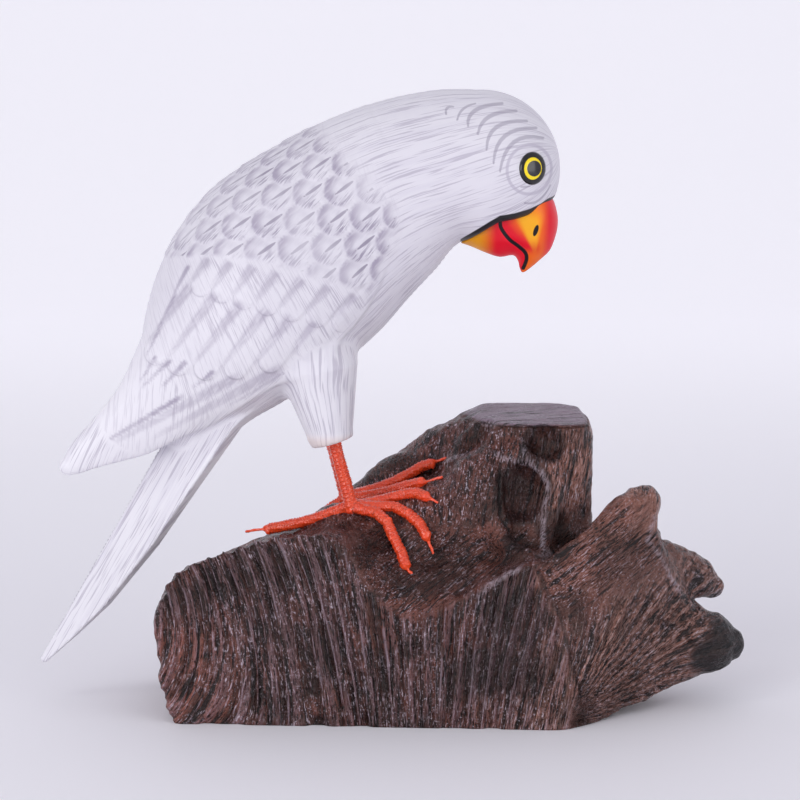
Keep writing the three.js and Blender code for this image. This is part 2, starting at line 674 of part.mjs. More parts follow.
function eyeSolid(side) {
  const dome = new THREE.SphereGeometry(1, 16, 10);
  dome.scale(eye.halfWidth, eye.thickness, eye.halfHeight);
  dome.rotateZ(-side * eye.turn);
  dome.translate(eye.x, side * eye.y, eye.z);
  return closedSolid(dome);
}

// Wrapped wire: the shank and toes of one foot
function legField(foot, shift, grow) {
  const top = [shankTop.x + shift, foot.hub[1], shankTop.z, shankRadius];
  const chains = [[top, [...foot.hub, shankRadius]], [[...foot.hub, toeRadius + hubExtra]]];
  foot.toes.forEach((toe, index) => {
    const rows = toe.map((place) => [...place, toeRadius]);
    const last = rows[rows.length - 1];
    chains.push([[...foot.hub, toeRadius + toeRootExtra], ...rows]);
    chains.push([[last[0], last[1], last[2], wireRadius], [...foot.tips[index], wireRadius]]);
  });
  return (x, z) => (y) => {
    let form = chainDistance(chains[0], x, y, z);
    for (const chain of chains.slice(1)) {
      form = smoothMin(form, chainDistance(chain, x, y, z), blends.toe);
    }
    return form - grow;
  };
}

// The root-wood block
const crestLine = smoothRows(crestRows, 5);
const frontCrestLine = smoothRows(frontCrestRows, 5);

// How far a place lies outside a form bounded by flat faces
function beyondFaces(faces, x, y, z, blend) {
  let form = -Infinity;
  for (const [normal, point] of faces) {
    const face = normal[0] * (x - point[0]) + normal[1] * (y - point[1]) + normal[2] * (z - point[2]);
    form = form === -Infinity ? face : smoothMax(form, face, blend);
  }
  return form;
}

function baseColumn(x, z) {
  const blend = woodBlends;
  const crestBehind = valueAt(crestLine, x);
  const crestInFront = valueAt(frontCrestLine, x);
  const side = slab.left - x + slab.leftLean * (slab.leanZ - z);
  const foot = (slab.footX - x + slab.footLean * (slab.footZ - z)) / Math.hypot(1, slab.footLean);
  const left = smoothMax(side, foot, blend.foot);
  const frontY = slab.front - slab.frontRun * (x - slab.frontFromX) + slab.frontLean * (z - slab.frontZ);
  const rising = (underside.rise * (x - underside.fromX) - z) / Math.hypot(1, underside.rise);
  const ripple = flutes.reduce((sum, { pitch, depth, lean, bend, turn }) => sum
    + depth * Math.cos((2 * Math.PI * (x + lean * z)) / pitch + bend * Math.sin(z / turn)), 0);
  const fluted = smoothStep(fluteReach.zEnd, fluteReach.zFull, z)
    * smoothStep(fluteReach.xEnd, fluteReach.xFull, x);
  return (y) => {
    const crest = mix(crestInFront, crestBehind, smoothStep(slab.crestFront, slab.crestBack, y));
    const corner = (slab.left - x + z - crest) * Math.SQRT1_2 + slab.cornerCut;
    const top = z - crest + slab.backFall * Math.max(y, 0);
    const end = smoothMax(beyondFaces(slabEndFaces, x, y, z, blend.slab), y - slab.back, blend.slab);
    let form = smoothMax(top, frontY - y, blend.frontEdge);
    form = smoothMax(form, smoothMax(left, corner, blend.slab), blend.slab);
    form = smoothMax(form, end, blend.slab);
    form = smoothMin(form, beyondFaces(stumpFaces, x, y, z, blend.stump), blend.onStump);
    const horn = smoothMax(beyondFaces(hornFaces, x, y, z, blend.horn), frontY + hornSetBack - y,
      blend.frontEdge);
    form = smoothMin(form, horn, blend.onHorn);
    for (const limb of rootLimbs) form = smoothMin(form, chainDistance(limb, x, y, z), blend.limb);
    for (const hollow of hollows) form = smoothMax(form, -chainDistance(hollow, x, y, z), blend.hollow);
    for (const rim of rims) form = smoothMin(form, chainDistance(rim, x, y, z), blend.rim);
    form = smoothMax(form, z - plateau.z - plateau.slope * (y - plateau.y), blend.plateau);
    form = smoothMax(form, rising, blend.underside);
    return form + ripple * fluted * smoothStep(fluteReach.yDeep, fluteReach.yFull, y);
  };
}

const birdBody = solidOf(birdColumn, boxes.bird, cellSizes.bird, triangleCounts.bird);
const beak = solidOf(beakColumn, boxes.beak, cellSizes.beak, triangleCounts.beak);

const shankLean = Math.atan2(shankTop.x - footHub.x, shankTop.z - footHub.z);

// A flat cut across a shank's line, on the thigh's side or on the leg's side of the joint
const jointSawSize = [26, 24, 40];
function jointSaw(shift, y, onThigh) {
  const half = jointSawSize[2] / 2;
  const reach = onThigh ? half - jointGap : -half;
  return sawBlock([shankTop.x + shift - Math.sin(shankLean) * reach, y,
    shankTop.z - Math.cos(shankLean) * reach], jointSawSize, shankLean);
}

const bird = birdBody.add(beak).add(eyeSolid(-1)).add(eyeSolid(1))
  .subtract(jointSaw(0, -thighOffset, true))
  .subtract(jointSaw(farThighShift, thighOffset, true));

function legSolid(foot, shift, grow) {
  const places = [...foot.toes.flat(), ...foot.tips, foot.hub];
  places.push([shankTop.x + shift, foot.hub[1], shankTop.z]);
  const low = [0, 1, 2].map((axis) => Math.min(...places.map((place) => place[axis])) - legMargin);
  const high = [0, 1, 2].map((axis) => Math.max(...places.map((place) => place[axis])) + legMargin);
  return solidOf(legField(foot, shift, grow), { low, high }, cellSizes.leg, triangleCounts.leg);
}

const legRight = legSolid(footRight, 0, 0).subtract(jointSaw(0, footRight.hub[1], false));
const legLeft = legSolid(footLeft, farThighShift, 0)
  .subtract(jointSaw(farThighShift, footLeft.hub[1], false));

const base = solidOf(baseColumn, boxes.base, cellSizes.base, triangleCounts.base)
  .subtract(sawBlock(ground.centre, ground.size))
  .subtract(legSolid(footRight, 0, jointGap))
  .subtract(legSolid(footLeft, farThighShift, jointGap));

const carving = new THREE.Group();
carving.add(meshOf('bird', bird, { color: 0xe9e7ef, roughness: 0.42, metalness: 0 }));
carving.add(meshOf('leg_right', legRight, { color: 0xd8341c, roughness: 0.35, metalness: 0 }));
carving.add(meshOf('leg_left', legLeft, { color: 0xd8341c, roughness: 0.35, metalness: 0 }));
carving.add(meshOf('base', base, { color: 0x4a3028, roughness: 0.45, metalness: 0 }));

export default carving;
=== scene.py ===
import math

import bpy
import numpy as np
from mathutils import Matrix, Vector


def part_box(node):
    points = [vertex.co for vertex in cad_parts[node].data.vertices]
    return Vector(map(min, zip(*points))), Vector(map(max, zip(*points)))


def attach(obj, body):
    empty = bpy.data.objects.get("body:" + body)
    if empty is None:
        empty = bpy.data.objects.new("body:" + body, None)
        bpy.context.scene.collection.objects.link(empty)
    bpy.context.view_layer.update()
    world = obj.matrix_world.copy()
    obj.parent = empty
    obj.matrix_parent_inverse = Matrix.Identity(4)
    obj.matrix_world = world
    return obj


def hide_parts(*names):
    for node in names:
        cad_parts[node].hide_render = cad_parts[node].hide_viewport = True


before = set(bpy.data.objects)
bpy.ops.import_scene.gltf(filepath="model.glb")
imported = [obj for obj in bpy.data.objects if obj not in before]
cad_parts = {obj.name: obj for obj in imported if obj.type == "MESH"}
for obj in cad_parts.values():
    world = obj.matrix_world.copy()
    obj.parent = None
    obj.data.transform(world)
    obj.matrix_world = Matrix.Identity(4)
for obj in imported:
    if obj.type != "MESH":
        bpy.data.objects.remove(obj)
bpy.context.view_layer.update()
print("frame loaded")

# Every size below is in millimetres, in the frame of the solids: +X where the bird looks,
# -Y towards the viewer, +Z up, origin on the underside of the block.
mm = 0.001


# Number helpers that take arrays
def mixOf(a, b, share):
    return a + (b - a) * share


def smoothStep(low, high, value):
    share = np.clip((value - low) / (high - low), 0, 1)
    return share * share * (3 - 2 * share)


def smoothMin(a, b, blend):
    share = np.clip(0.5 + (b - a) / (2 * blend), 0, 1)
    return mixOf(b, a, share) - blend * share * (1 - share)


def smoothMax(a, b, blend):
    return -smoothMin(-a, -b, blend)


def smoothRows(rows, steps):
    rows = np.asarray(rows, float)
    result = []
    for i in range(len(rows) - 1):
        before, after = rows[max(i - 1, 0)], rows[min(i + 2, len(rows) - 1)]
        slopeA, slopeB = (rows[i + 1] - before) / 2, (after - rows[i]) / 2
        rise = rows[i + 1] - rows[i]
        for step in range(steps):
            t = step / steps
            result.append(rows[i] + slopeA * t + (3 * rise - 2 * slopeA - slopeB) * t ** 2
                          + (slopeA + slopeB - 2 * rise) * t ** 3)
    result.append(rows[-1])
    return np.array(result)


def valueAt(rows, place):
    return np.interp(place, *zip(*rows))


# Keeps, place by place, the values that go with the smaller distance, which comes first
def keepNearer(best, found):
    if best is None:
        return found
    nearer = found[0] < best[0]
    return [np.where(nearer, new, old) for new, old in zip(found, best)]


# Nearest place on a side-view line: side, length past its ends, length along, values there
def nearestOnLine(rows, x, z):
    best = None
    travelled = 0.0
    for a, b in zip(rows[:-1], rows[1:]):
        dx, dz = b[0] - a[0], b[1] - a[1]
        length = math.hypot(dx, dz)
        raw = ((x - a[0]) * dx + (z - a[1]) * dz) / length ** 2
        t = np.clip(raw, 0, 1)
        gap = (x - a[0] - dx * t) ** 2 + (z - a[1] - dz * t) ** 2
        side = ((x - a[0]) * dz - (z - a[1]) * dx) / length
        found = [gap, side, (raw - t) * length, travelled + t * length]
        found += [mixOf(low, high, t) for low, high in zip(a[2:], b[2:])]
        best = keepNearer(best, found)
        travelled += length
    return best[1:]


# Distance to a chain of balls joined by cones, with the length along it
def chainNear(chain, x, y, z):
    best = None
    travelled = 0.0
    ends = chain[1:] if len(chain) > 1 else chain
    for a, b in zip(chain, ends):
        dx, dy, dz = b[0] - a[0], b[1] - a[1], b[2] - a[2]
        square = dx * dx + dy * dy + dz * dz or 1.0
        t = np.clip(((x - a[0]) * dx + (y - a[1]) * dy + (z - a[2]) * dz) / square, 0, 1)
        gap = np.sqrt((x - a[0] - dx * t) ** 2 + (y - a[1] - dy * t) ** 2 + (z - a[2] - dz * t) ** 2)
        best = keepNearer(best, [gap - mixOf(a[3], b[3], t), travelled + t * math.sqrt(square)])
        travelled += math.sqrt(square)
    return best


# An oval form along a side-view spine, with the parts of its measure
def ovalForm(rows, x, y, z):
    side, past, along, up, down, halfWidth, *offset = nearestOnLine(rows, x, z)
    radial = np.hypot(side, past)
    reach = mixOf(down, up, smoothStep(0.2, 0.8, 0.5 + 0.5 * side / (radial + 1e-6)))
    off = (y - offset[0]) if offset else y
    form = (np.sqrt((radial / reach) ** 2 + (off / halfWidth) ** 2) - 1) * np.minimum(reach, halfWidth)
    return form, side, past, along, radial, reach, halfWidth


# Repeatable soft noise from -1 to 1 at points in millimetres
noiseTable = np.random.default_rng(11).random(65536) * 2 - 1


def noiseAt(points, size, seed=0):
    place = points / np.asarray(size, float) + 17.3 * seed
    cell = np.floor(place).astype(np.int64)
    share = place - cell
    share = share * share * (3 - 2 * share)
    total = 0.0
    for corner in range(8):
        bits = np.array([corner & 1, corner >> 1 & 1, corner >> 2])
        spot = cell + bits
        key = (spot[:, 0] * 73856093 ^ spot[:, 1] * 19349663 ^ spot[:, 2] * 83492791) & 65535
        total = total + noiseTable[key] * np.prod(np.where(bits, share, 1 - share), axis=1)
    return total


# A surface of quads where a field is zero, with each point then drawn onto it
def surfaceOf(field, low, high, cell):
    axes = [np.arange(a, b + cell, cell, dtype=np.float32) for a, b in zip(low, high)]
    values = field(axes[0][:, None, None], axes[1][None, :, None], axes[2][None, None, :])
    values = np.array(values, np.float32)
    for axis in range(3):
        for end in (0, -1):
            wall = np.moveaxis(values, axis, 0)[end]
            np.maximum(wall, cell / 2, out=wall)
    inside = values < 0
    n = np.array(values.shape) - 1
    count = np.zeros(n, np.int8)
    for corner in range(8):
        i, j, k = corner & 1, corner >> 1 & 1, corner >> 2
        count += inside[i:n[0] + i, j:n[1] + j, k:n[2] + k]
    mixed = (count > 0) & (count < 8)
    cells = np.argwhere(mixed)
    index = np.full(n, -1, np.int64)
    index[mixed] = np.arange(len(cells))
    total, hits = np.zeros((len(cells), 3)), np.zeros((len(cells), 1))
    for axis in range(3):
        step = np.eye(3, dtype=int)[axis]
        for corner in range(8):
            start = np.array([corner & 1, corner >> 1 & 1, corner >> 2])
            if start[axis]:
                continue
            a, b = values[tuple((cells + start).T)], values[tuple((cells + start + step).T)]
            crossed = (a < 0) != (b < 0)
            t = np.where(crossed, a / np.where(crossed, a - b, 1), 0)[:, None]
            total += np.where(crossed[:, None], start + t * step, 0)
            hits += crossed[:, None]
    points = np.array(low) + cell * (cells + total / hits)
    quads = []
    for axis in range(3):
        u, v = (axis + 1) % 3, (axis + 2) % 3
        a = np.moveaxis(inside, axis, 0)
        crossed = np.moveaxis(a[:-1] != a[1:], 0, axis)
        spots = np.argwhere(crossed)
        spots = spots[(spots[:, u] > 0) & (spots[:, v] > 0)]
        spots = spots[(spots[:, u] < n[u]) & (spots[:, v] < n[v])]
        du, dv = np.eye(3, dtype=int)[u], np.eye(3, dtype=int)[v]
        ring = [index[tuple((spots - shift).T)] for shift in (du + dv, dv, 0 * du, du)]
        faces = np.stack(ring, axis=1)
        outward = inside[tuple(spots.T)]
        faces[~outward] = faces[~outward][:, ::-1]
        quads.append(faces)
    for _ in range(2):
        points = ontoSurface(field, points, cell)
    return points, np.concatenate(quads)


def slopeOf(field, points, reach):
    slope = np.empty_like(points)
    for axis in range(3):
        shift = np.zeros(3)
        shift[axis] = reach
        slope[:, axis] = (field(*(points + shift).T) - field(*(points - shift).T)) / (2 * reach)
    return slope


def ontoSurface(field, points, cell):
    slope = slopeOf(field, points, cell * 0.3)
    step = field(*points.T)[:, None] * slope / (np.sum(slope ** 2, axis=1, keepdims=True) + 1e-6)
    length = np.linalg.norm(step, axis=1, keepdims=True) + 1e-9
    return points - step * np.minimum(1, 0.5 * cell / length)


def normalsOf(points, quads):
    across = points[quads[:, 2]] - points[quads[:, 0]]
    down = points[quads[:, 3]] - points[quads[:, 1]]
    faces = np.cross(across, down)
    normals = np.zeros_like(points)
    for corner in range(4):
        np.add.at(normals, quads[:, corner], faces)
    return normals / (np.linalg.norm(normals, axis=1, keepdims=True) + 1e-12)


# A Blender piece from points in millimetres, with smooth values to be read by its paint
def makePiece(name, points, faces, material, values, node):
    mesh = bpy.data.meshes.new(name)
    mesh.from_pydata((points * mm).tolist(), [], faces)
    for key, numbers in values.items():
        numbers = np.asarray(numbers, np.float32)
        kind = "FLOAT" if numbers.ndim == 1 else "FLOAT_VECTOR"
        field = "value" if numbers.ndim == 1 else "vector"
        mesh.attributes.new(key, kind, "POINT").data.foreach_set(field, numbers.ravel())
    mesh.polygons.foreach_set("use_smooth", [True] * len(mesh.polygons))
    mesh.update()
    mesh.materials.append(material)
    piece = bpy.data.objects.new(name, mesh)
    bpy.context.scene.collection.objects.link(piece)
    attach(piece, "root")
    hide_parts(node)
    print(name, len(points), "points,", len(faces), "faces")


def colour(code):
    channels = [int(code[i:i + 2], 16) / 255 for i in (1, 3, 5)]
    linear = [c / 12.92 if c <= 0.04045 else ((c + 0.055) / 1.055) ** 2.4 for c in channels]
    return (*linear, 1.0)


# Adds a node with its settings; a link's value is a number, a colour, a node or a socket
def addNode(tree, kind, settings=None, links=None):
    node = tree.nodes.new("ShaderNode" + kind)
    for key, value in (settings or {}).items():
        setattr(node, key, value)
    for key, value in (links or {}).items():
        if isinstance(value, bpy.types.Node):
            value = value.outputs[0]
        if isinstance(value, bpy.types.NodeSocket):
            tree.links.new(value, node.inputs[key])
        else:
            node.inputs[key].default_value = value
    return node


def newMaterial(name):
    material = bpy.data.materials.new(name)
    material.use_nodes = True
    tree = material.node_tree
    tree.nodes.clear()
    shader = addNode(tree, "BsdfPrincipled")
    output = addNode(tree, "OutputMaterial")
    tree.links.new(shader.outputs[0], output.inputs["Surface"])
    return material, tree, shader


# Coats of paint one over another: tint, how strongly it covers, and the patterns that limit it;
# a pattern is a share from 0 to 1, or a value with where it starts and where it is full
def layPaint(tree, ground, coats):
    for tint, cover, *patterns in coats:
        for pattern in patterns:
            if isinstance(pattern, tuple):
                source, low, high = pattern
                pattern = addNode(tree, "MapRange", {"interpolation_type": "SMOOTHSTEP"},
                                  {"Value": source, "From Min": low, "From Max": high})
            cover = addNode(tree, "Math", {"operation": "MULTIPLY"}, {0: cover, 1: pattern})
        links = {0: cover, 6: ground, 7: colour(tint)}
        ground = addNode(tree, "Mix", {"data_type": "RGBA"}, links).outputs[2]
    return ground


bird = {
    # side view of head and body: x, z, reach above, reach below, half width
    "spine": [
        (36, 241.5, 35.1, 35, 28), (20, 240, 36.8, 31.5, 28.5), (0, 233, 39.8, 38.8, 30),
        (-22, 220, 43.7, 44.3, 33), (-42, 203.5, 46.6, 47.4, 36), (-60, 184, 44.8, 45, 36.5),
        (-75, 163, 39, 37, 32), (-87, 143, 28, 25.5, 21), (-96, 124, 9, 10, 8),
    ],
    # lower edge of the wing: x, z
    "wingEdge": [
        (-10, 262), (3, 232), (-4, 204), (-14, 182), (-27, 167), (-41, 156), (-58, 146),
        (-75, 134.5), (-89, 127), (-102, 121), (-112, 115.5), (-124, 112), (-138, 108),
        (-149, 103), (-165, 96),
    ],
    "wingStep": 3.6,
    "wingStepRun": (-2, 62),
    # free end of each wing: x, z, reach above, reach below, half thickness, offset in y
    "blade": [
        (-72, 172, 38, 30, 20, 16), (-92, 156, 27, 26, 15, 14), (-112, 136, 17, 22, 9, 11.5),
        (-130, 121, 12, 14, 5.6, 9), (-143, 112.5, 8, 8, 3.8, 7.5), (-148.5, 109.2, 4.6, 4.4, 2.6, 7),
    ],
    # the tail: both ends of its upper line as x, z, then depth and half width along it
    "tailTop": (-112.9, 108.5),
    "tailTip": (-163.6, 20.5),
    "tailDepths": [
        (-58, 38.5), (-46, 31.3), (-36, 27.6), (0, 24.2), (30, 21.6), (65, 15.8), (85, 9.8), (96, 6),
        (106, 2.6),
    ],
    "tailHalfWidths": [(-58, 11), (-36, 15), (0, 14.5), (50, 10.5), (90, 5.5), (106, 2.4)],
    "tailEdgeShare": 0.87,
    "tailLength": 104,
    "tailOverlap": 54,
    # the near thigh: x, z, radius
    "thighTop": (-36, 154, 17.5),
    "thighBottom": (-31.3, 126, 10.5),
    "thighOffset": 15,
    "farThighShift": -2.6,
    # lower edge of the head's face, over the beak: x, z
    "faceEdge": [
        (26, 207.5), (28.2, 209.2), (32.6, 212.3), (39.2, 216.7), (43.6, 219.3), (49.8, 220.2),
        (56.4, 221.9), (61.7, 224.1), (67.3, 227.6), (75, 233),
    ],
    "faceFrom": 26.5,
    "faceSlope": 1.085,       # length of one millimetre of that edge's run
    "eyeRing": (56.4, 242.3, 10, 10.6),
    # middle line of the brush strokes over neck and head
    "brushLine": [(78, 252), (50, 243), (20, 233), (0, 226), (-22, 213), (-45, 195), (-62, 176),
                  (-80, 150), (-95, 125)],
    "box": ((-168, -44, 12), (76, 44, 281)),
    "cell": 1.05,
}


feathers = {
    "origin": (-27, 232),
    "covertTip": -5.5,        # how far back the first round covert ends
    "covertRow": 10.6,
    "covertPitch": 16.2,
    "covertRadius": 7.2,
    "covertRows": 9,
    # where the coverts end, for each place across the feathers
    "covertEnd": [(-42, 84), (-32, 73), (-19.4, 57), (-3, 43), (15.5, 34), (36, 23), (50, 16)],
    "rise": 0.7,              # thickness of a feather's end over the next one
    # rows of long feathers: line of their roots, line of their ends, how many, roundness of the ends
    "rows": [
        ([(-83, 204.5), (-53, 199.2), (-19.5, 188.5)],
         [(-91, 193.6), (-62.5, 186.2), (-30.8, 177.9)], 7, 4.5),
        ([(-91, 192.5), (-63, 184.5), (-36.8, 177.2)], [(-112, 165), (-85, 156), (-48.2, 162)], 6, 5.5),
    ],
    "markWidth": 2.9,         # half width of the brush mark on each of them
    # brush marks along the flight feathers: both ends as x, z, and half width
    "flight": [
        ((-107, 160.8), (-115.1, 148.5), 1.1), ((-100.2, 159.6), (-114.6, 145.9), 1.2),
        ((-93.4, 159.4), (-105.5, 146.3), 1.4), ((-81.1, 155.3), (-91.6, 146.7), 1.3),
        ((-70.2, 152.7), (-131, 119), 3.2), ((-52.3, 156.6), (-112, 122), 3.2),
        ((-40, 160), (-77, 138), 1.7), ((-96, 143), (-146, 112), 1.5),
        ((-92, 201), (-100, 186), 1.3), ((-98, 188), (-108, 170), 1.3), ((-104, 176), (-112, 160), 1.2),
    ],
    # painted arcs over the head: start, middle, end
    "brows": [
        ((20, 266.5), (20.5, 268.9), (23.1, 269.4)), ((25, 264.2), (27.4, 268.4), (32.7, 270.7)),
        ((29.5, 261.2), (32.6, 267.8), (44.1, 270.7)), ((33.8, 258), (38.7, 265.2), (50.2, 267.5)),
        ((37.5, 251.4), (41.9, 260.8), (54.8, 263.2)), ((40.5, 245.6), (45.5, 257), (59, 260.1)),
        ((43.3, 242), (49.4, 254.3), (62.1, 255.8)), ((54.8, 227.7), (60.9, 228.8), (65.9, 235)),
    ],
}


# Wrapped wire of the legs; a shank's line runs from shankTop to footHub, both as x, z
stance = {
    "shankTop": (-30.2, 120.9),
    "footHub": (-21.8, 92.4),
    "shankRadius": 2.9,
    "overCut": 3,             # length that the thigh's cut takes off a shank
    "hubRadius": 3.35,
    "toeRootRadius": 2.75,
    "toeRadius": 2.45,
    "wireRadius": 0.65,
    "gap": 0.35,              # air between a shank's end and its thigh
    "wrapPitch": 1.25,
    "wrapLean": 0.35,
    "wrapHeight": 0.3,
    "cell": 0.42,
}


spine = smoothRows(bird["spine"], 6)
wingLine = smoothRows(bird["wingEdge"], 2)
blades = smoothRows(bird["blade"], 4)


def featherPlace(x, z):
    dx, dz = x - feathers["origin"][0], z - feathers["origin"][1]
    return (-dx - dz) / math.sqrt(2), (dx - dz) / math.sqrt(2)


def tailPlace(x, z):
    (topX, topZ), (tipX, tipZ) = bird["tailTop"], bird["tailTip"]
    length = math.hypot(tipX - topX, tipZ - topZ)
    runX, runZ = (tipX - topX) / length, (tipZ - topZ) / length
    along = (x - topX) * runX + (z - topZ) * runZ
    below = (z - topZ) * runX - (x - topX) * runZ
    return along, below


def tailForm(x, side, z):
    along, below = tailPlace(x, z)
    depth = valueAt(bird["tailDepths"], along)
    halfWidth = valueAt(bird["tailHalfWidths"], along)
    edge = depth * bird["tailEdgeShare"]
    roof = (side * edge - below * halfWidth) / np.hypot(edge, halfWidth)
    keel = (below - edge) * halfWidth + (side - halfWidth) * (depth - edge)
    keel = keel / np.hypot(halfWidth, depth - edge)
    ends = np.maximum(along - bird["tailLength"], -bird["tailOverlap"] - along)
    return smoothMax(smoothMax(roof, keel, 0.8), ends, 1.5)


def thighForm(x, y, z):
    shift = np.where(y > 0, bird["farThighShift"], 0)
    rows = [(place[0], bird["thighOffset"], *place[1:]) for place in (bird["thighTop"], bird["thighBottom"])]
    return chainNear(rows, x - shift, np.abs(y), z)[0]


# Height over the lower edge of the face
def overFace(x, z):
    return (z - valueAt(bird["faceEdge"], x)) / bird["faceSlope"]


# Height over the flat cut where a shank meets its thigh
def overJoint(x, y, z):
    shift = np.where(y > 0, bird["farThighShift"], 0)
    (topX, topZ), (hubX, hubZ) = stance["shankTop"], stance["footHub"]
    lean = math.atan2(topX - hubX, topZ - hubZ)
    return (x - topX - shift) * math.sin(lean) + (z - topZ) * math.cos(lean)


def birdForm(x, y, z):
    side = np.abs(y)
    body = ovalForm(spine, x, y, z)[0]
    aboveEdge = nearestOnLine(wingLine, x, z)[0]
    step = bird["wingStep"] * smoothStep(*bird["wingStepRun"], featherPlace(x, z)[0])
    form = smoothMin(body, smoothMax(body - step, -aboveEdge, 1), 0.8)
    form = smoothMin(form, smoothMax(ovalForm(blades, x, side, z)[0], -aboveEdge, 1), 3)
    form = smoothMin(form, tailForm(x, side, z), 2.5)
    form = np.where(x > bird["faceFrom"], smoothMax(form, -overFace(x, z), 2), form)
    form = smoothMin(form, thighForm(x, y, z), 6)
    nearJoint = (z < 135) & (x > -60)
    return np.where(nearJoint, smoothMax(form, stance["gap"] - overJoint(x, y, z), 0.5), form)


# Place on the wing measured over its curve: along the feathers, and across them
def wingPlace(x, y, z):
    along, across = featherPlace(x, z)
    _, side, _, _, _, reach, halfWidth = ovalForm(spine, x, y, z)
    turn = np.arctan2(side / reach, np.abs(y) / halfWidth)
    return along, across + side - reach * turn


def covertSpots(along, across, row):
    tip = feathers["covertTip"] + row * feathers["covertRow"]
    pitch = feathers["covertPitch"]
    shift = (row % 2) / 2 - 0.5 - 0.07 * row
    column = np.round(across / pitch - shift)
    return along - tip, across - (column + shift) * pitch


def rowAt(points, share):
    a, b, c = (np.array(p, float) for p in points)
    return a * (1 - share) * (1 - 2 * share) + b * 4 * share * (1 - share) + c * share * (2 * share - 1)


# Every long feather: the stroke along its upper side, its root, end and half width
def layOutFeathers():
    found = []
    for roots, ends, count, sag in feathers["rows"]:
        for n in range(count):
            here, after = n / (count - 1), (n + 1) / (count - 1)
            stroke = [rowAt(roots, here), rowAt(ends, here)]
            root = (stroke[0] + rowAt(roots, after)) / 2
            tip = (stroke[1] + rowAt(ends, after)) / 2
            run = (tip - root) / np.linalg.norm(tip - root)
            apart = rowAt(ends, after) - stroke[1]
            halfWidth = max(abs(apart[1] * run[0] - apart[0] * run[1]) / 2, 2.4)
            found.append((stroke, root, tip + run * sag, halfWidth))
    return found


longFeathers = layOutFeathers()


# A place in a long feather's own measure: share of its length, and offset in half widths
def inFeather(root, tip, halfWidth, x, z):
    run = tip - root
    length = math.hypot(*run)
    t = ((x - root[0]) * run[0] + (z - root[1]) * run[1]) / length ** 2
    across = ((z - root[1]) * run[0] - (x - root[0]) * run[1]) / length
    return t, across / halfWidth, length


def covertArea(along, across):
    return smoothStep(-20, -10, along) * smoothStep(1, -3, along - valueAt(feathers["covertEnd"], across))


# Thickness that the feathers add: each end stands over the feather behind it
def featherRelief(x, y, z):
    along, across = wingPlace(x, y, z)
    rise = feathers["rise"]
    relief = np.zeros_like(x)
    for _, root, tip, halfWidth in reversed(longFeathers):
        share, aside, length = inFeather(root, tip, halfWidth, x, z)
        fromTip = (1 - share) * length
        outline = np.sqrt(np.clip(1 - (1 - np.clip(fromTip / halfWidth, 0, 1)) ** 2, 0, 1))
        inside = smoothStep(-0.1, 0.14, outline - np.abs(aside)) * smoothStep(-0.4, 0.05, share)
        inside = inside * smoothStep(0, 0.6, fromTip)
        relief = mixOf(relief, rise * np.clip(1.1 - fromTip / 30, 0.2, 1), inside)
    radius = feathers["covertRadius"] * 1.1
    coverts = np.zeros_like(x)
    for row in range(feathers["covertRows"] - 1, -1, -1):
        back, aside = covertSpots(along, across, row)
        behind = -back - radius + np.sqrt(np.maximum(radius ** 2 - aside ** 2, 0))
        height = rise * np.clip(1 - behind / (feathers["covertRow"] * 1.5), 0, 1)
        coverts = mixOf(coverts, height, smoothStep(0, 1.1, behind) * smoothStep(24, 14, behind))
    relief = mixOf(relief, coverts, covertArea(*featherPlace(x, z)))
    above = nearestOnLine(wingLine, x, z)[0]
    return relief * smoothStep(0, 7, above) * smoothStep(-16, -4, along)


# Painted strokes of the head: side-view line, half width at both ends, darkness; each arc starts with a dab
def headStrokes():
    strokes = []
    for n, arc in enumerate(feathers["brows"]):
        line = [rowAt(arc, share) for share in np.linspace(0, 1, 9)]
        strokes.append((line, (0.8, 1.15) if 1 < n < 7 else (0.6, 0.6), 0.5))
        strokes.append(([arc[0], arc[0] + 0.03 * (line[1] - line[0])], (0.8, 0.8), 0.62))
    strokes.append(([(52.8, 234.9), (56.6, 235)], (0.6, 0.4), 0.45))
    return strokes


# Plain distance to a stroke and signed offset from it, both in its own half widths
def strokeNear(line, widths, x, z, thin=0.6):
    rows = np.array([(*p, share) for p, share in zip(line, np.linspace(0, 1, len(line)))])
    side, past, _, share = nearestOnLine(rows, x, z)
    share = np.clip(share, 0, 1)
    width = mixOf(*widths, share) * (thin + (1 - thin) * np.sin(np.pi * share ** 0.8))
    return [np.hypot(side, past) / width, side / width]


# The dark stroke along the shaft of each round covert
def shaftStrokes(along, across):
    best, shaft = None, [(-14.6, 1.8), (-9, 1.1), (-4.2, 0.4)]
    for row in range(feathers["covertRows"]):
        back, aside = covertSpots(along, across, row)
        best = keepNearer(best, strokeNear(shaft, (0.85, 0.85), back, aside, 0.2))
    return best


def wingMask(x, z):
    above = nearestOnLine(wingLine, x, z)[0]
    return smoothStep(0.5, 4, above) * smoothStep(-22, -8, featherPlace(x, z)[0])


# Brush flow over head, neck and breast, down the tail and down the thighs
def brushFlow(x, y, z, zone):
    side = np.abs(y)
    offset, past, run = nearestOnLine(smoothRows(bird["brushLine"], 4), x, z)
    tailAlong, tailBelow = tailPlace(x, z)
    thighX = np.interp(z, [126, 148], [-31.3, -34.5]) + np.where(y > 0, bird["farThighShift"], 0)
    overBody = np.arctan2(offset / 40, side / 30) * 40
    aroundThigh = np.arctan2(x - thighX, side - bird["thighOffset"]) * 13
    along = np.choose(zone, [run + past, tailAlong + 300, z])
    return along, np.choose(zone, [overBody, tailBelow + 0.35 * side, aroundThigh])


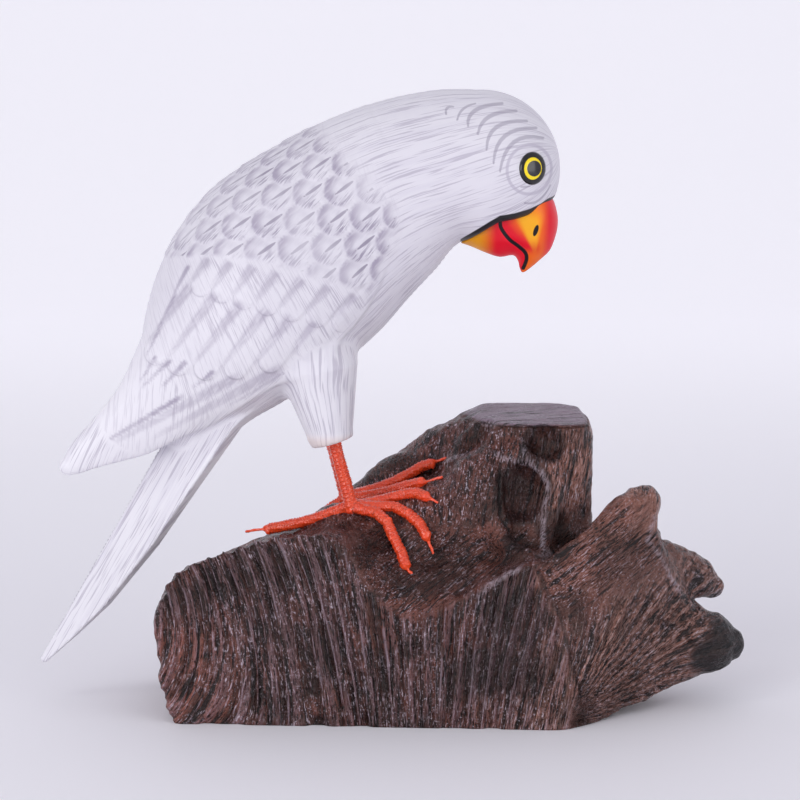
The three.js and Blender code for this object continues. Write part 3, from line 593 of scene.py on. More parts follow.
# Round coverts: a wash on the upper side, hatching on the lower side, and a painted shadow just outside each
# raised rim
def covertTones(along, across):
    radius = feathers["covertRadius"]
    wash, hatch = np.zeros_like(along), np.zeros_like(along)
    for row in range(feathers["covertRows"]):
        back, aside = covertSpots(along, across, row)
        out = np.hypot(back + radius, aside)
        band = smoothStep(radius + 0.2, radius - 0.7, out) * smoothStep(radius - 6.8, radius - 1.2, out)
        band = band * smoothStep(-radius * 1.9, -radius * 0.9, back) * smoothStep(5, -1, aside)
        # painted shadow: a faint grey band just outside the rim
        rimShadow = smoothStep(radius + 2, radius + 0.3, out) * smoothStep(-radius * 1.3, -radius * 0.6, back)
        wash = np.maximum(wash, np.maximum(band, 0.22 * rimShadow))
        lower = smoothStep(radius + 0.3, radius - 0.6, out) * smoothStep(radius - 6.5, radius - 2.5, out)
        lower = lower * smoothStep(-2, 1.5, aside) * smoothStep(-radius * 1.8, -radius, back)
        hatch = np.maximum(hatch, lower)
    return wash, hatch


# Long feathers: broad brush marks, steep hatching over the rest, and the line around each end
def flightTones(x, z):
    marks, steep, outline = np.zeros_like(x), np.zeros_like(x), None
    brushMarks = [(start, end, feathers["markWidth"]) for (start, end), *_ in longFeathers]
    brushMarks += [(np.array(start), np.array(end), width) for start, end, width in feathers["flight"]]
    for start, end, width in brushMarks:
        share, aside, _ = inFeather(start, end, 1.0, x, z)
        breadth = width * np.clip(1.15 - 0.75 * share, 0.3, 1)
        mark = smoothStep(1.05, 0.4, np.abs(aside) / breadth) * smoothStep(-0.05, 0.06, share)
        mark = mark * smoothStep(1.02, 0.85, share) * (1 - 0.6 * np.clip(share, 0, 1))
        marks = np.maximum(marks, mark * min(1, 2 / width))
    for _, root, tip, halfWidth in longFeathers:
        share, aside, _ = inFeather(root, tip, halfWidth, x, z)
        inside = smoothStep(1.1, 0.85, np.abs(aside)) * smoothStep(0, 0.1, share) * smoothStep(1, 0.9, share)
        steep = np.maximum(steep, inside * smoothStep(1.1, 0.15, share))
        run = (tip - root) / np.linalg.norm(tip - root) * halfWidth
        perp = np.array([-run[1], run[0]])
        bend = [tip - run + run * math.cos(a) + perp * math.sin(a) for a in np.linspace(-1.3, 1.3, 9)]
        outline = keepNearer(outline, strokeNear(bend, (0.36, 0.36), x, z, 0.7))
    above = nearestOnLine(wingLine, x, z)[0]
    lowWing = smoothStep(163, 150, z - 0.1 * (x + 80)) * smoothStep(-150, -90, x) * smoothStep(2, 12, above)
    steep = np.maximum(steep * smoothStep(-118, -75, x), 0.75 * lowWing)
    return marks, np.maximum(steep, 0.4), outline


def birdPaint(points):
    x, y, z = points.T
    zones = np.stack([ovalForm(spine, x, y, z)[0], tailForm(x, np.abs(y), z) + 0.6, thighForm(x, y, z)])
    zone = np.argmin(zones, axis=0)
    ordered = np.sort(zones, axis=0)
    clear = smoothStep(0, 2.2, ordered[1] - ordered[0])
    wing = wingMask(x, z) * (zone == 0)
    along, across = wingPlace(x, y, z)
    inCoverts = covertArea(*featherPlace(x, z)) * wing
    inFlight = wing * (1 - inCoverts)
    uneven = 0.78 + 0.45 * noiseAt(points * (1, 0, 1), (13, 1, 13), 61)
    wash, hatch = [tone * inCoverts * uneven for tone in covertTones(along, across)]
    marks, steep, outline = flightTones(x, z)
    # strokes with an edge: around the feathers, along the shafts, and every other arc of the head
    quill = [*outline, 0.22 * inFlight]
    apart, offset = shaftStrokes(along, across)
    quill = keepNearer(quill, [np.where(inCoverts > 0.5, apart, np.inf), offset, 0.75 * inCoverts * uneven])
    brow = None
    for n, (line, widths, ink) in enumerate(headStrokes()):
        stroke = [*strokeNear(line, widths, x, z), np.full_like(x, ink)]
        if n // 2 % 2:
            brow = keepNearer(brow, stroke)
        else:
            quill = keepNearer(quill, stroke)
    ringX, ringZ, ringHalfWidth, ringHalfHeight = bird["eyeRing"]
    ring = np.hypot((x - ringX) / ringHalfWidth, (z - ringZ) / ringHalfHeight) * ringHalfWidth
    worn = smoothStep(-140, -163, x) * smoothStep(112, 100, z) * (zone != 1)
    worn = np.maximum(worn, smoothStep(127, 122, z) * (x > -60) * 0.7)
    overEdge = np.where(x > 26.6, overFace(x, z) + 0.3 * np.maximum(x - 65, 0), 40)
    lean = np.interp(along, [20, 110], [0.34, -0.1])
    values = {
        "flow": [*brushFlow(x, y, z, zone), clear * (1 - wing)], "quill": quill, "brow": brow,
        "edge": [ring, overEdge, worn],
        "hatchPlace": [along * 0.97 + across * 0.1, across - along * 0.1, x + lean * z],
        "tone": [np.maximum(wash, marks * inFlight), hatch, steep * inFlight],
    }
    return {**{name: np.stack(parts, axis=1) for name, parts in values.items()}, "upright": z}


def paintedWoodMaterial():
    # Carved wood under brushed off-white acrylic and satin varnish: chalky body, soft sheen
    material, tree, shader = newMaterial("brushed_acrylic_on_carved_wood")
    flowAt, quillAt, browAt, edgeAt, placeAt, toneAt = [addNode(tree, "SeparateXYZ", links={
        0: addNode(tree, "Attribute", {"attribute_name": name}).outputs["Vector"]}).outputs
        for name in ("flow", "quill", "brow", "edge", "hatchPlace", "tone")]
    height = addNode(tree, "Attribute", {"attribute_name": "upright"}).outputs["Fac"]

    # streaks: noise drawn out along one coordinate; length and width in millimetres
    def streak(along, across, length, width, low, high, seed):
        alongPart = addNode(tree, "Math", {"operation": "DIVIDE"}, {0: along, 1: length})
        acrossPart = addNode(tree, "Math", {"operation": "DIVIDE"}, {0: across, 1: width})
        spot = addNode(tree, "CombineXYZ", links={0: alongPart, 1: acrossPart, 2: seed})
        noise = addNode(tree, "TexNoise", links={"Vector": spot, "Scale": 1.0, "Detail": 1.5})
        return addNode(tree, "MapRange", {"interpolation_type": "SMOOTHSTEP"},
                       {"Value": noise, "From Min": low, "From Max": high}).outputs[0]

    brush = streak(flowAt[0], flowAt[1], 19, 0.7, 0.53, 0.64, 1.5)
    softBrush = streak(flowAt[0], flowAt[1], 34, 2.2, 0.42, 0.72, 4.5)
    fineHatch = streak(placeAt[0], placeAt[1], 5.5, 0.62, 0.44, 0.62, 7.5)
    steepHatch = streak(height, placeAt[2], 11, 0.8, 0.5, 0.64, 9.5)
    washNoise = streak(placeAt[0], placeAt[1], 6, 1.6, 0.25, 0.6, 12.5)
    uneven = addNode(tree, "Math", {"operation": "MULTIPLY_ADD"}, {0: washNoise, 1: 0.6, 2: 0.45})
    inked = []
    for strokeAt in (quillAt, browAt):
        nearLine = addNode(tree, "MapRange", {}, {"Value": strokeAt[0], "From Min": 2.0, "From Max": 1.2})
        aside = addNode(tree, "Math", {"operation": "ABSOLUTE"}, {0: strokeAt[1]})
        inked.append(("#857C92", strokeAt[2], nearLine, (aside, 1.2, 0.6)))
    ringOffset = addNode(tree, "Math", {"operation": "SUBTRACT"}, {0: edgeAt[0], 1: bird["eyeRing"][2]})
    fromRing = addNode(tree, "Math", {"operation": "ABSOLUTE"}, {0: ringOffset})
    surface = addNode(tree, "TexCoord").outputs["Object"]
    cloud = addNode(tree, "TexNoise", links={"Vector": surface, "Scale": 22.0, "Detail": 2.0})
    ground = addNode(tree, "Mix", {"data_type": "RGBA"},
                     {0: cloud, 6: colour("#DEDBE4"), 7: colour("#E9E7ED")}).outputs[2]
    coats = [
        # painted shade: a grey wash that grows with height and darkens the upper body
        ("#AFA8BA", 0.21, (height, 135.0, 190.0)),
        ("#CDC9D6", 0.4, softBrush, flowAt[2]),
        ("#A39BAE", 0.55, brush, flowAt[2]),
        ("#A49CAF", toneAt[0], uneven),
        ("#9A92A6", 0.9, fineHatch, toneAt[1]),
        ("#A39BAE", 0.62, steepHatch, toneAt[2]),
        *inked,
        ("#AFA8BA", 0.62, (fromRing, 0.95, 0.35)),
        ("#DFC3B4", 0.6, edgeAt[2]),
        ("#17161C", 1.0, (edgeAt[1], 3.0, 2.6)),
    ]
    softRidge = addNode(tree, "Math", {"operation": "MULTIPLY"}, {0: softBrush, 1: 0.4})
    ridges = addNode(tree, "Math", {"operation": "MULTIPLY_ADD"}, {0: brush, 1: 0.6, 2: softRidge})
    bump = addNode(tree, "Bump", {}, {"Height": ridges, "Strength": 0.12, "Distance": 0.0004})
    tree.links.new(layPaint(tree, ground, coats), shader.inputs["Base Color"])
    tree.links.new(bump.outputs[0], shader.inputs["Normal"])
    shader.inputs["Roughness"].default_value = 0.42
    shader.inputs["IOR"].default_value = 1.49
    return material


print("building the bird")
birdPoints, birdQuads = surfaceOf(birdForm, *bird["box"], bird["cell"])
birdPoints = birdPoints + normalsOf(birdPoints, birdQuads) * featherRelief(*birdPoints.T)[:, None]
birdPoints = np.clip(birdPoints, *(np.array(corner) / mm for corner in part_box("bird")))
makePiece("bird_body", birdPoints, birdQuads.tolist(), paintedWoodMaterial(), birdPaint(birdPoints),
          "bird")


beak = {
    # outline seen from the side: x, z
    "outline": [
        (27.2, 208.7), (31.2, 207.4), (38.8, 204.2), (44.6, 202.5), (50.4, 203.3), (52.7, 200.7),
        (53.4, 197.5), (54.9, 195.5), (58.5, 197.8), (62.9, 201.6), (66.9, 205.6), (69.3, 211.8),
        (70.3, 217.2), (69.9, 222.5), (67.6, 229.2), (62, 236), (46, 232), (32, 220), (27.2, 208.7),
    ],
    # half width at each height: height z, half width
    "halfWidths": [(192, 2.8), (197, 4.6), (203, 8), (210, 11.6), (218, 14.6), (226, 16.4), (240, 17)],
    "rounding": 11,
    # line between the two halves: x, z
    "lip": [
        (44, 219.2), (44.6, 216.1), (48.2, 211.2), (52.2, 208.1), (55.5, 205), (56.2, 201.7), (54.9, 197.6),
    ],
    "groove": 0.4,
    # the yellow wedge on its side: height z, middle x, half width
    "wedge": [(206, 59.6, 0.8), (222, 56.6, 5.4)],
    "nostril": (59.8, 215.2),
    "box": ((22, -20, 192), (74, 20, 240)),
    "cell": 0.5,
}


# How far a place lies inside a closed outline seen from the side, negative outside it
def insideOutline(outline, x, z):
    nearest, inside = np.inf, False
    for (ax, az), (bx, bz) in zip(outline[:-1], outline[1:]):
        dx, dz = bx - ax, bz - az
        t = np.clip(((x - ax) * dx + (z - az) * dz) / (dx * dx + dz * dz), 0, 1)
        nearest = np.minimum(nearest, np.hypot(x - ax - dx * t, z - az - dz * t))
        inside = inside ^ (((az > z) != (bz > z)) & (x < ax + (z - az) / dz * dx))
    return np.where(inside, nearest, -nearest)


beakLine = smoothRows(beak["outline"], 3)
lipLine = smoothRows(beak["lip"], 4)


def beakForm(x, y, z):
    short = np.maximum(beak["rounding"] - insideOutline(beakLine, x, z), 0)
    return np.hypot(short, y * beak["rounding"] / valueAt(beak["halfWidths"], z)) - beak["rounding"]


def beakPaint(points):
    x, _, z = points.T
    side, past, _ = nearestOnLine(lipLine, x, z)
    lower = smoothStep(-0.4, 0.4, side)
    nostrilX, nostrilZ = beak["nostril"]
    nostril = np.hypot((x - nostrilX - 0.25 * (z - nostrilZ)) / 1.05, (z - nostrilZ) / 2.6)
    heights, middles, breadths = zip(*beak["wedge"])
    off = np.abs(x - np.interp(z, heights, middles)) / np.interp(z, heights, breadths)
    wedge = smoothStep(1.5, 0.6, off) * smoothStep(203, 214, z) * (1 - lower)
    wedge = wedge * smoothStep(229, 219, z + 0.4 * (x - 57))
    upperRed = np.maximum(smoothStep(-9, -2.5, side) * smoothStep(203, 208, z), smoothStep(61.5, 66.5, x))
    crimson = mixOf(upperRed, smoothStep(34, 43, x), lower)
    return {"lines": np.stack([np.hypot(side, past), nostril, 0 * x], axis=1),
            "ripeness": np.stack([wedge, crimson, lower], axis=1)}


def beakMaterial():
    # Carved wood under blended enamel, yellow into red, with a thin gloss coat: saturated, slightly wet look
    material, tree, shader = newMaterial("blended_gloss_enamel_on_wood")
    lineAt, ripeAt = [addNode(tree, "SeparateXYZ", links={
        0: addNode(tree, "Attribute", {"attribute_name": name}).outputs["Vector"]}).outputs
        for name in ("lines", "ripeness")]
    coats = [
        ("#EC9D1C", 1.0, ripeAt[2]), ("#E3142C", 1.0, ripeAt[1]), ("#F8AE22", 1.0, ripeAt[0]),
        ("#16151A", 1.0, (lineAt[0], 0.95, 0.7)), ("#16151A", 1.0, (lineAt[1], 1.08, 0.92)),
    ]
    tree.links.new(layPaint(tree, colour("#F26A1C"), coats), shader.inputs["Base Color"])
    shader.inputs["Roughness"].default_value = 0.4
    shader.inputs["Specular IOR Level"].default_value = 0.25
    shader.inputs["Coat Weight"].default_value = 0.08
    shader.inputs["Coat Roughness"].default_value = 0.08
    return material


print("building the beak")
beakPoints, beakQuads = surfaceOf(beakForm, *beak["box"], beak["cell"])
fromLip = np.hypot(*nearestOnLine(lipLine, beakPoints[:, 0], beakPoints[:, 2])[:2])
beakPoints = beakPoints - normalsOf(beakPoints, beakQuads) * (beak["groove"] * np.exp(-fromLip ** 2))[:, None]
makePiece("bird_beak", beakPoints, beakQuads.tolist(), beakMaterial(), beakPaint(beakPoints),
          "bird")


eye = {
    "x": 57.6, "y": 21.2, "z": 242.8, "halfWidth": 7, "thickness": 2.8, "halfHeight": 7.2, "turn": 0.57,
    # rings of paint in shares of the dome: middle x, middle z, half width, half height
    "iris": (-0.16, 0.01, 0.63, 0.67), "pupil": (-0.1, 0.01, 0.52, 0.48),
}


def eyeMaterial():
    # Carved boss under gloss enamel: black with a yellow iris ring
    material, tree, shader = newMaterial("gloss_enamel_eye")
    rings = addNode(tree, "Attribute", {"attribute_name": "rings"})
    ringAt = addNode(tree, "SeparateXYZ", links={0: rings.outputs["Vector"]}).outputs
    coats = [("#F9DC12", 1.0, (ringAt[0], 1.04, 0.96)), ("#1C1B23", 1.0, (ringAt[1], 1.04, 0.96))]
    tree.links.new(layPaint(tree, colour("#0E0D12"), coats), shader.inputs["Base Color"])
    shader.inputs["Roughness"].default_value = 0.22
    shader.inputs["Coat Weight"].default_value = 0.2
    return material


# A dome in rings of points, from its outer pole to the pole inside the head
def makeEye(name, side, material, around=64, rings=40):
    points, faces = [(0.0, side, 0.0)], []
    for ring in range(1, rings):
        tilt = math.pi * ring / rings
        for n in range(around):
            turn = 2 * math.pi * n / around
            out = math.sin(tilt)
            points.append((out * math.cos(turn), side * math.cos(tilt), out * math.sin(turn)))
    points.append((0.0, -side, 0.0))
    last = len(points) - 1
    for n in range(around):
        after = (n + 1) % around
        faces.append((0, 1 + n, 1 + after))
        for start in range(1, last - around, around):
            faces.append((start + n, start + around + n, start + around + after, start + after))
        faces.append((last, last - around + after, last - around + n))
    if side > 0:
        faces = [face[::-1] for face in faces]
    unit = np.array(points)
    painted = [np.hypot((unit[:, 0] - middleX) / halfWidth, (unit[:, 2] - middleZ) / halfHeight)
               for middleX, middleZ, halfWidth, halfHeight in (eye["iris"], eye["pupil"])]
    turn = -side * eye["turn"]
    turned = np.array([[math.cos(turn), math.sin(turn), 0], [-math.sin(turn), math.cos(turn), 0], [0, 0, 1]])
    points = unit * (eye["halfWidth"], eye["thickness"], eye["halfHeight"]) @ turned
    points = points + (eye["x"], side * eye["y"], eye["z"])
    makePiece(name, points, faces, material, {"rings": np.stack([*painted, 0 * painted[0]], axis=1)},
              "bird")


print("building the eyes")
enamel = eyeMaterial()
makeEye("bird_eye_right", -1, enamel)
makeEye("bird_eye_left", 1, enamel)


# The near foot: where its toes meet, the line of each toe, and the tip of each bare wire
footRight = {
    "hub": (-21.7, -12.5, 91.8),
    "toes": [
        [(-17, -15, 90.8), (-10.5, -17, 89.6), (-5.8, -22, 86.4), (-2.7, -26, 80), (0.6, -28, 74),
         (2.2, -31, 69)],
        [(-10.5, -12.5, 91.6), (-2.7, -13, 91.6), (3.6, -17.5, 89.3), (8.9, -21, 85.3), (11.4, -23.3, 80.8)],
        [(-13, -9, 92.6), (-5, -6, 94.2), (2.2, -6.8, 96.3), (7.6, -9, 97.2), (11.6, -12.5, 96)],
        [(-26.5, -11.5, 90.4), (-33.4, -11, 87.6), (-39, -10, 85.4), (-45, -9, 83.6), (-51.6, -8, 82),
         (-59, -7, 80.4)],
    ],
    "tips": [(6.6, -33, 62.8), (14.7, -24.5, 73), (16.9, -15.5, 94.2), (-69.4, -6.5, 79)],
}

footLeft = {
    "hub": (-24.6, 13, 90.8),
    "toes": [
        [(-18.4, 15, 93), (-8.3, 15.3, 95.6), (-0.2, 16.5, 99.1), (5.1, 17.5, 101.7), (10.1, 18.5, 104.7),
         (14.2, 18.4, 105.9)],
        [(-18.3, 10.3, 91.6), (-5, 8, 94.8), (3.6, 2, 98.6), (9.5, -2, 100.6)],
        [(-16, 18.5, 92.6), (-8, 20, 95), (0, 21.5, 98.2), (5, 22, 100.5), (10, 22.5, 103.3)],
        [(-31, 13.5, 86.6), (-38, 14, 81.6), (-45, 15, 79), (-51, 15.5, 77.6)],
    ],
    "tips": [(22.5, 17, 109.6), (18.9, -4.5, 103.4), (22.4, 18.5, 105.8), (-60, 16.5, 76)],
}


def legForm(foot, shift, x, y, z):
    hub, topX, topZ = foot["hub"], *stance["shankTop"]
    top = (topX + shift, hub[1], topZ + stance["overCut"], stance["shankRadius"])
    form, along = chainNear([top, (*hub, stance["shankRadius"])], x, y, z)
    form = smoothMin(form, chainNear([(*hub, stance["hubRadius"])], x, y, z)[0], 1)
    for toe, tip in zip(foot["toes"], foot["tips"]):
        rows = [(*hub, stance["toeRootRadius"])] + [(*place, stance["toeRadius"]) for place in toe]
        near, here = chainNear(rows, x, y, z)
        along = np.where(near < form, here, along)
        form = smoothMin(form, near, 1)
        wire = [(*toe[-1], stance["wireRadius"]), (*tip, stance["wireRadius"])]
        form = smoothMin(form, chainNear(wire, x, y, z)[0], 1)
    return smoothMax(form, overJoint(x, y, z), 0.3), along


def makeLeg(name, foot, shift, material):
    places = np.array([place for toe in foot["toes"] for place in toe] + foot["tips"] + [foot["hub"]])
    low, high = places.min(axis=0) - 4, places.max(axis=0) + 4
    low[0] = min(low[0], stance["shankTop"][0] + shift - 6)
    high[2] = max(high[2], stance["shankTop"][1] + 4)
    points, quads = surfaceOf(lambda x, y, z: legForm(foot, shift, x, y, z)[0], low, high, stance["cell"])
    _, along = legForm(foot, shift, *points.T)
    # two sets of turns cross each other, as where thread is wound there and back
    lift = stance["wrapLean"] * (points[:, 2] + points[:, 1] * 0.6)
    turns = [(along + rise) * 2 * math.pi / stance["wrapPitch"] for rise in (lift, -lift)]
    rough = noiseAt(points, 1.1, 3) + 0.6 * noiseAt(points, 2.6, 4)
    height = stance["wrapHeight"] * (0.45 * (np.cos(turns[0]) + np.cos(turns[1])) + 0.6 * rough)
    points = points + normalsOf(points, quads) * height[:, None]
    values = {"turns": np.stack([*turns, 0 * lift], axis=1)}
    makePiece(name, points, quads.tolist(), material, values, name)


def lacquerMaterial():
    # Wire bound with thread under thick red-orange gloss lacquer: wet ridges with small glints
    material, tree, shader = newMaterial("gloss_lacquer_over_wrapped_wire")
    place = addNode(tree, "TexCoord").outputs["Object"]
    patch = addNode(tree, "TexNoise", links={"Vector": place, "Scale": 300.0, "Detail": 3.0})
    paint = layPaint(tree, colour("#FF5A28"), [("#E5330D", 1.0, patch)])
    fine = addNode(tree, "TexNoise", links={"Vector": place, "Scale": 900.0, "Detail": 2.0})
    turns = addNode(tree, "Attribute", {"attribute_name": "turns"}).outputs["Vector"]
    turnAt = addNode(tree, "SeparateXYZ", links={0: turns}).outputs
    waves = [addNode(tree, "Math", {"operation": "SINE"}, {0: turnAt[n]}) for n in (0, 1)]
    thread = addNode(tree, "Math", {"operation": "MULTIPLY"}, {0: waves[0], 1: waves[1]})
    ridges = addNode(tree, "Math", {"operation": "MULTIPLY_ADD"}, {0: thread, 1: 0.5, 2: fine})
    bump = addNode(tree, "Bump", {}, {"Height": ridges, "Strength": 0.9, "Distance": 0.0005})
    tree.links.new(paint, shader.inputs["Base Color"])
    tree.links.new(bump.outputs[0], shader.inputs["Normal"])
    shader.inputs["Roughness"].default_value = 0.3
    shader.inputs["Coat Weight"].default_value = 0.8
    shader.inputs["Coat Roughness"].default_value = 0.06
    return material


print("building the legs")
lacquer = lacquerMaterial()
makeLeg("leg_right", footRight, 0, lacquer)
makeLeg("leg_left", footLeft, bird["farThighShift"], lacquer)


block = {
    # slab with the chiselled front face
    "left": (-108.8, 0.08), "leftFoot": (-108, 22, 0.36), "front": (-41, 0.062, 0.1), "back": 40,
    "crest": [
        (-112, 52), (-100, 60), (-90, 64.5), (-78.6, 68.5), (-59, 77.2), (-45, 79.5), (-25, 83.5),
        (0, 72), (18, 69), (35, 70), (60, 74), (80, 66), (105, 46), (130, 34),
    ],
    "frontCrest": [
        (-108, 55), (-105, 61), (-100, 69.5), (-93, 76), (-84, 81), (-64, 85), (-43, 86.5), (-32, 82),
        (-22, 73), (-10, 57), (2, 49), (17, 52), (37, 63), (50, 70), (62, 72), (76, 60), (130, 34),
    ],
    "crestRun": (-50, -24), "backFall": 0.35, "cornerCut": 5, "roundness": 4,
    # flat faces as a normal and a point on it
    "slabEnd": [((0.637, -0.767, -0.078), (76, -50, 5)), ((0.8, 0.6, 0), (122, 0, 0))],
    "tower": [
        ((1, 0, 0), (87, 0, 0)), ((0.8, 0, 0.6), (83.5, 0, 129)), ((0.6, -0.8, 0), (70, -16, 0)),
        ((0, -0.894, 0.447), (0, -8, 127)), ((0, -0.98, 0.196), (0, -17, 113)),
        ((-0.75, -0.6, 0.28), (37, 8, 128)), ((-0.46, 0, 0.89), (34, 0, 128.5)), ((0, 1, 0), (0, 40, 0)),
        ((0.6, 0.8, 0), (80, 34, 0)),
    ],
    "towerBlend": 3,
    "horn": [
        ((0.416, -0.896, 0.155), (65.5, -47, 77)), ((0.637, -0.767, -0.078), (76, -50, 5)),
        ((0.925, 0, 0.378), (113.5, 0, 86)), ((-0.637, 0.462, 0.617), (65.5, -47, 77)),
        ((0, 1, 0), (0, 4, 0)), ((-1, 0, 0), (40, 0, 0)), ((0.1, 0, 1), (109, 0, 97)),
    ],
    "hornBlend": 4, "hornSetBack": 1.8,
    # rounded limbs, hollows and ridges as chains of balls: x, y, z, radius
    "limbs": [
        [(-26, 22, 62, 14), (-12, 28, 83, 15), (-2, 32, 91, 15), (18, 35, 99, 16), (36, 32, 107, 18)],
        [(-34, -4, 60, 21), (-22, -2, 68, 24), (0, 0, 69, 25), (18, 4, 76, 24)],
        [(10, 10, 64, 26), (33, 6, 80, 26), (44, 8, 97, 21)],
        [(34, -9, 103, 11), (33, -11, 90, 14), (29, -10, 76, 17)],
        [(92, -26, 84, 6), (104, -20, 93, 7), (109, -17, 95, 6.5)],
        [(104, -4, 50, 20), (122, 8, 60, 11), (136, 14, 54, 9.5), (144, 17, 49, 5.5)],
        [(92, 0, 34, 28), (120, 0, 30, 18), (140, -2, 27, 14), (149, -1, 26, 8.5)],
        [(60, 20, 26, 34), (20, 16, 24, 30), (-70, 10, 20, 24)],
    ],
    "limbBlend": 8,
    "hollows": [
        [(64, -12, 120, 8), (60, -11, 115, 6)],
        [(55, -23, 103, 11), (53.5, -22, 97, 10)],
        [(66, -25, 85, 4.5), (69, -18, 85, 5)],
        [(50, -31, 79, 3), (54, -32, 76, 2.5)],
        [(88, -62, 74, 22), (98, -66, 46, 24)],
        [(78, -20, 86, 7), (88, -8, 84, 7)],
        [(10, -66, 76, 24), (34, -70, 84, 24)],
    ],
    "hollowBlend": 4, "darkHollows": 4,
    "ridges": [
        [(44, -8, 114, 2.2), (53, -12, 115.5, 2.6), (62, -14, 111, 2.8), (67.5, -16, 102, 3),
         (68, -18, 92, 3), (65, -22, 82, 3), (62, -27, 74, 3)],
        [(40, -10, 112, 3), (40.5, -18, 101, 4), (40.5, -22, 90, 4), (45, -27, 79, 4), (54, -34, 72, 4)],
        [(36, 8, 124, 2.5), (29, 8, 117, 3.5), (24, 4, 108, 4)],
        [(46, -3, 123, 2.5), (40, -5, 116, 3), (37, -9, 109, 4)],
    ],
    "ridgeBlend": 6,
    "plateau": (129.6, 0.07, 16),     # the sawn top: height, slope, y where it has that height
    "underside": (88, 0.25),          # where it starts to rise on the right, and how steeply
    # lean of the chisel marks over the front, and how it changes with height: x, lean, change
    "chiselLean": [
        (-110, -0.05, -0.02), (-85, -0.1, -0.014), (-55, -0.22, -0.005), (-20, -0.18, 0),
        (20, 0.08, 0), (55, 0.2, 0),
    ],
    # gouge cuts of the front: width and depth
    "gouges": [(8.2, 1.5), (3.4, 0.7)],
    # cuts that fan out over the right face: x, z of their centre, and their width
    "fanPivot": (72, 3), "fanPitch": 4.2,
    # darker patch in the middle of the front: x, z, where it ends, where it is full
    "darkerPatch": (49, 34, 44, 14),
    # edges that get a painted highlight, and dark seams: x, y, z
    "highlitEdges": [
        [(45, -13.6, 113.8), (51.5, -15.6, 113.1), (57.6, -16.7, 111.7), (62.6, -18.3, 108.3),
         (65.7, -19.7, 103.4), (65.5, -20.7, 97.4), (64.1, -21.1, 92.3),
          (63.5, -24, 84.6), (62.9, -30.5, 75.5)],
        [(35.2, 17, 128.9), (39, 4, 127), (44, -3, 126.8), (51.8, -6, 126.9), (59.3, -4, 127.6),
         (79, -3, 127.8)],
        [(104.6, -17.8, 101), (99.1, -22.7, 98.8), (90, -21, 90), (81, -19, 82), (72.4, -20, 75.5),
         (62, -35, 73.3), (50.4, -45.6, 69.4), (40.4, -45.6, 64.3), (34.4, -46.1, 58.3)],
        [(37.8, 4.9, 127), (46, -4, 125), (53.8, -9.7, 122), (55.1, -15.1, 117.1), (57.6, -16.8, 112.2)],
        [(112.3, -24, 88.7), (109.2, -26.3, 78.8), (114.6, -23.7, 72), (120.4, -18.9, 60.6),
         (126.4, -12.5, 51.9)],
        [(22.2, 0.7, 110.4), (29.5, -1, 113.6), (38.4, -10.5, 116), (43.4, -12.7, 115), (45, -13.6, 113.8)],
    ],
    "seams": [
        [(44.6, -13.9, 112), (44.1, -19.1, 105.4), (44, -23.2, 96.8), (44.6, -26.3, 89.1), (48.2, -26.6, 83)],
        [(60.3, -46.8, 68.7), (64.3, -47.9, 59.7), (69.3, -49.1, 50.8), (71.8, -50.1, 42.9),
         (73.9, -51, 32.9), (77.5, -50.7, 22.5), (79.7, -48.8, 13.8)],
        [(114, -24.1, 44), (120.7, -19.2, 39.7), (127.2, -16.7, 34.9), (132.5, -16.6, 28.5)],
        [(15.4, -24.7, 72.3), (20.4, -25.7, 76.6), (24.5, -26, 79.8), (26, -25.3, 84.8)],
    ],
    "box": ((-118, -62, -3), (164, 50, 140)),
    "cell": 1.1,
}


crestLine = smoothRows(block["crest"], 5)
frontCrestLine = smoothRows(block["frontCrest"], 5)
grainNames = ("grainUp", "grainRidge", "grainFan")


def flatFaces(faces, x, y, z, blend):
    form = None
    for normal, point in faces:
        face = normal[0] * (x - point[0]) + normal[1] * (y - point[1]) + normal[2] * (z - point[2])
        form = face if form is None else smoothMax(form, face, blend)
    return form


def blockForm(x, y, z):
    crest = mixOf(valueAt(frontCrestLine, x), valueAt(crestLine, x), smoothStep(*block["crestRun"], y))
    endX, endLean = block["left"]
    footX, footZ, footLean = block["leftFoot"]
    left = (footX - x + footLean * (footZ - z)) / math.hypot(1, footLean)
    left = smoothMax(endX - x + endLean * (50 - z), left, 2)
    corner = (endX - x + z - crest) * math.sqrt(0.5) + block["cornerCut"]
    faceY, faceTurn, faceLean = block["front"]
    frontY = faceY - faceTurn * (x + 109.5) + faceLean * (z - 20)
    rounding = block["roundness"]
    top = z - crest + block["backFall"] * np.maximum(y, 0)
    right = flatFaces(block["slabEnd"], x, y, z, rounding)
    form = smoothMax(smoothMax(top, frontY - y, 2.5), smoothMax(left, corner, rounding), rounding)
    form = smoothMax(form, smoothMax(right, y - block["back"], rounding), rounding)
    form = smoothMin(form, flatFaces(block["tower"], x, y, z, block["towerBlend"]), 5)
    horn = flatFaces(block["horn"], x, y, z, block["hornBlend"])
    form = smoothMin(form, smoothMax(horn, frontY + block["hornSetBack"] - y, 2.5), 3)
    for limb in block["limbs"]:
        form = smoothMin(form, chainNear(limb, x, y, z)[0], block["limbBlend"])
    for hollow in block["hollows"]:
        form = smoothMax(form, -chainNear(hollow, x, y, z)[0], block["hollowBlend"])
    for ridge in block["ridges"]:
        form = smoothMin(form, chainNear(ridge, x, y, z)[0], block["ridgeBlend"])
    level, slope, middle = block["plateau"]
    form = smoothMax(form, z - level - slope * (y - middle), 1)
    startX, rise = block["underside"]
    form = smoothMax(form, (rise * (x - startX) - z) / math.hypot(1, rise), 2)
    return smoothMax(form, -z, 0.6)


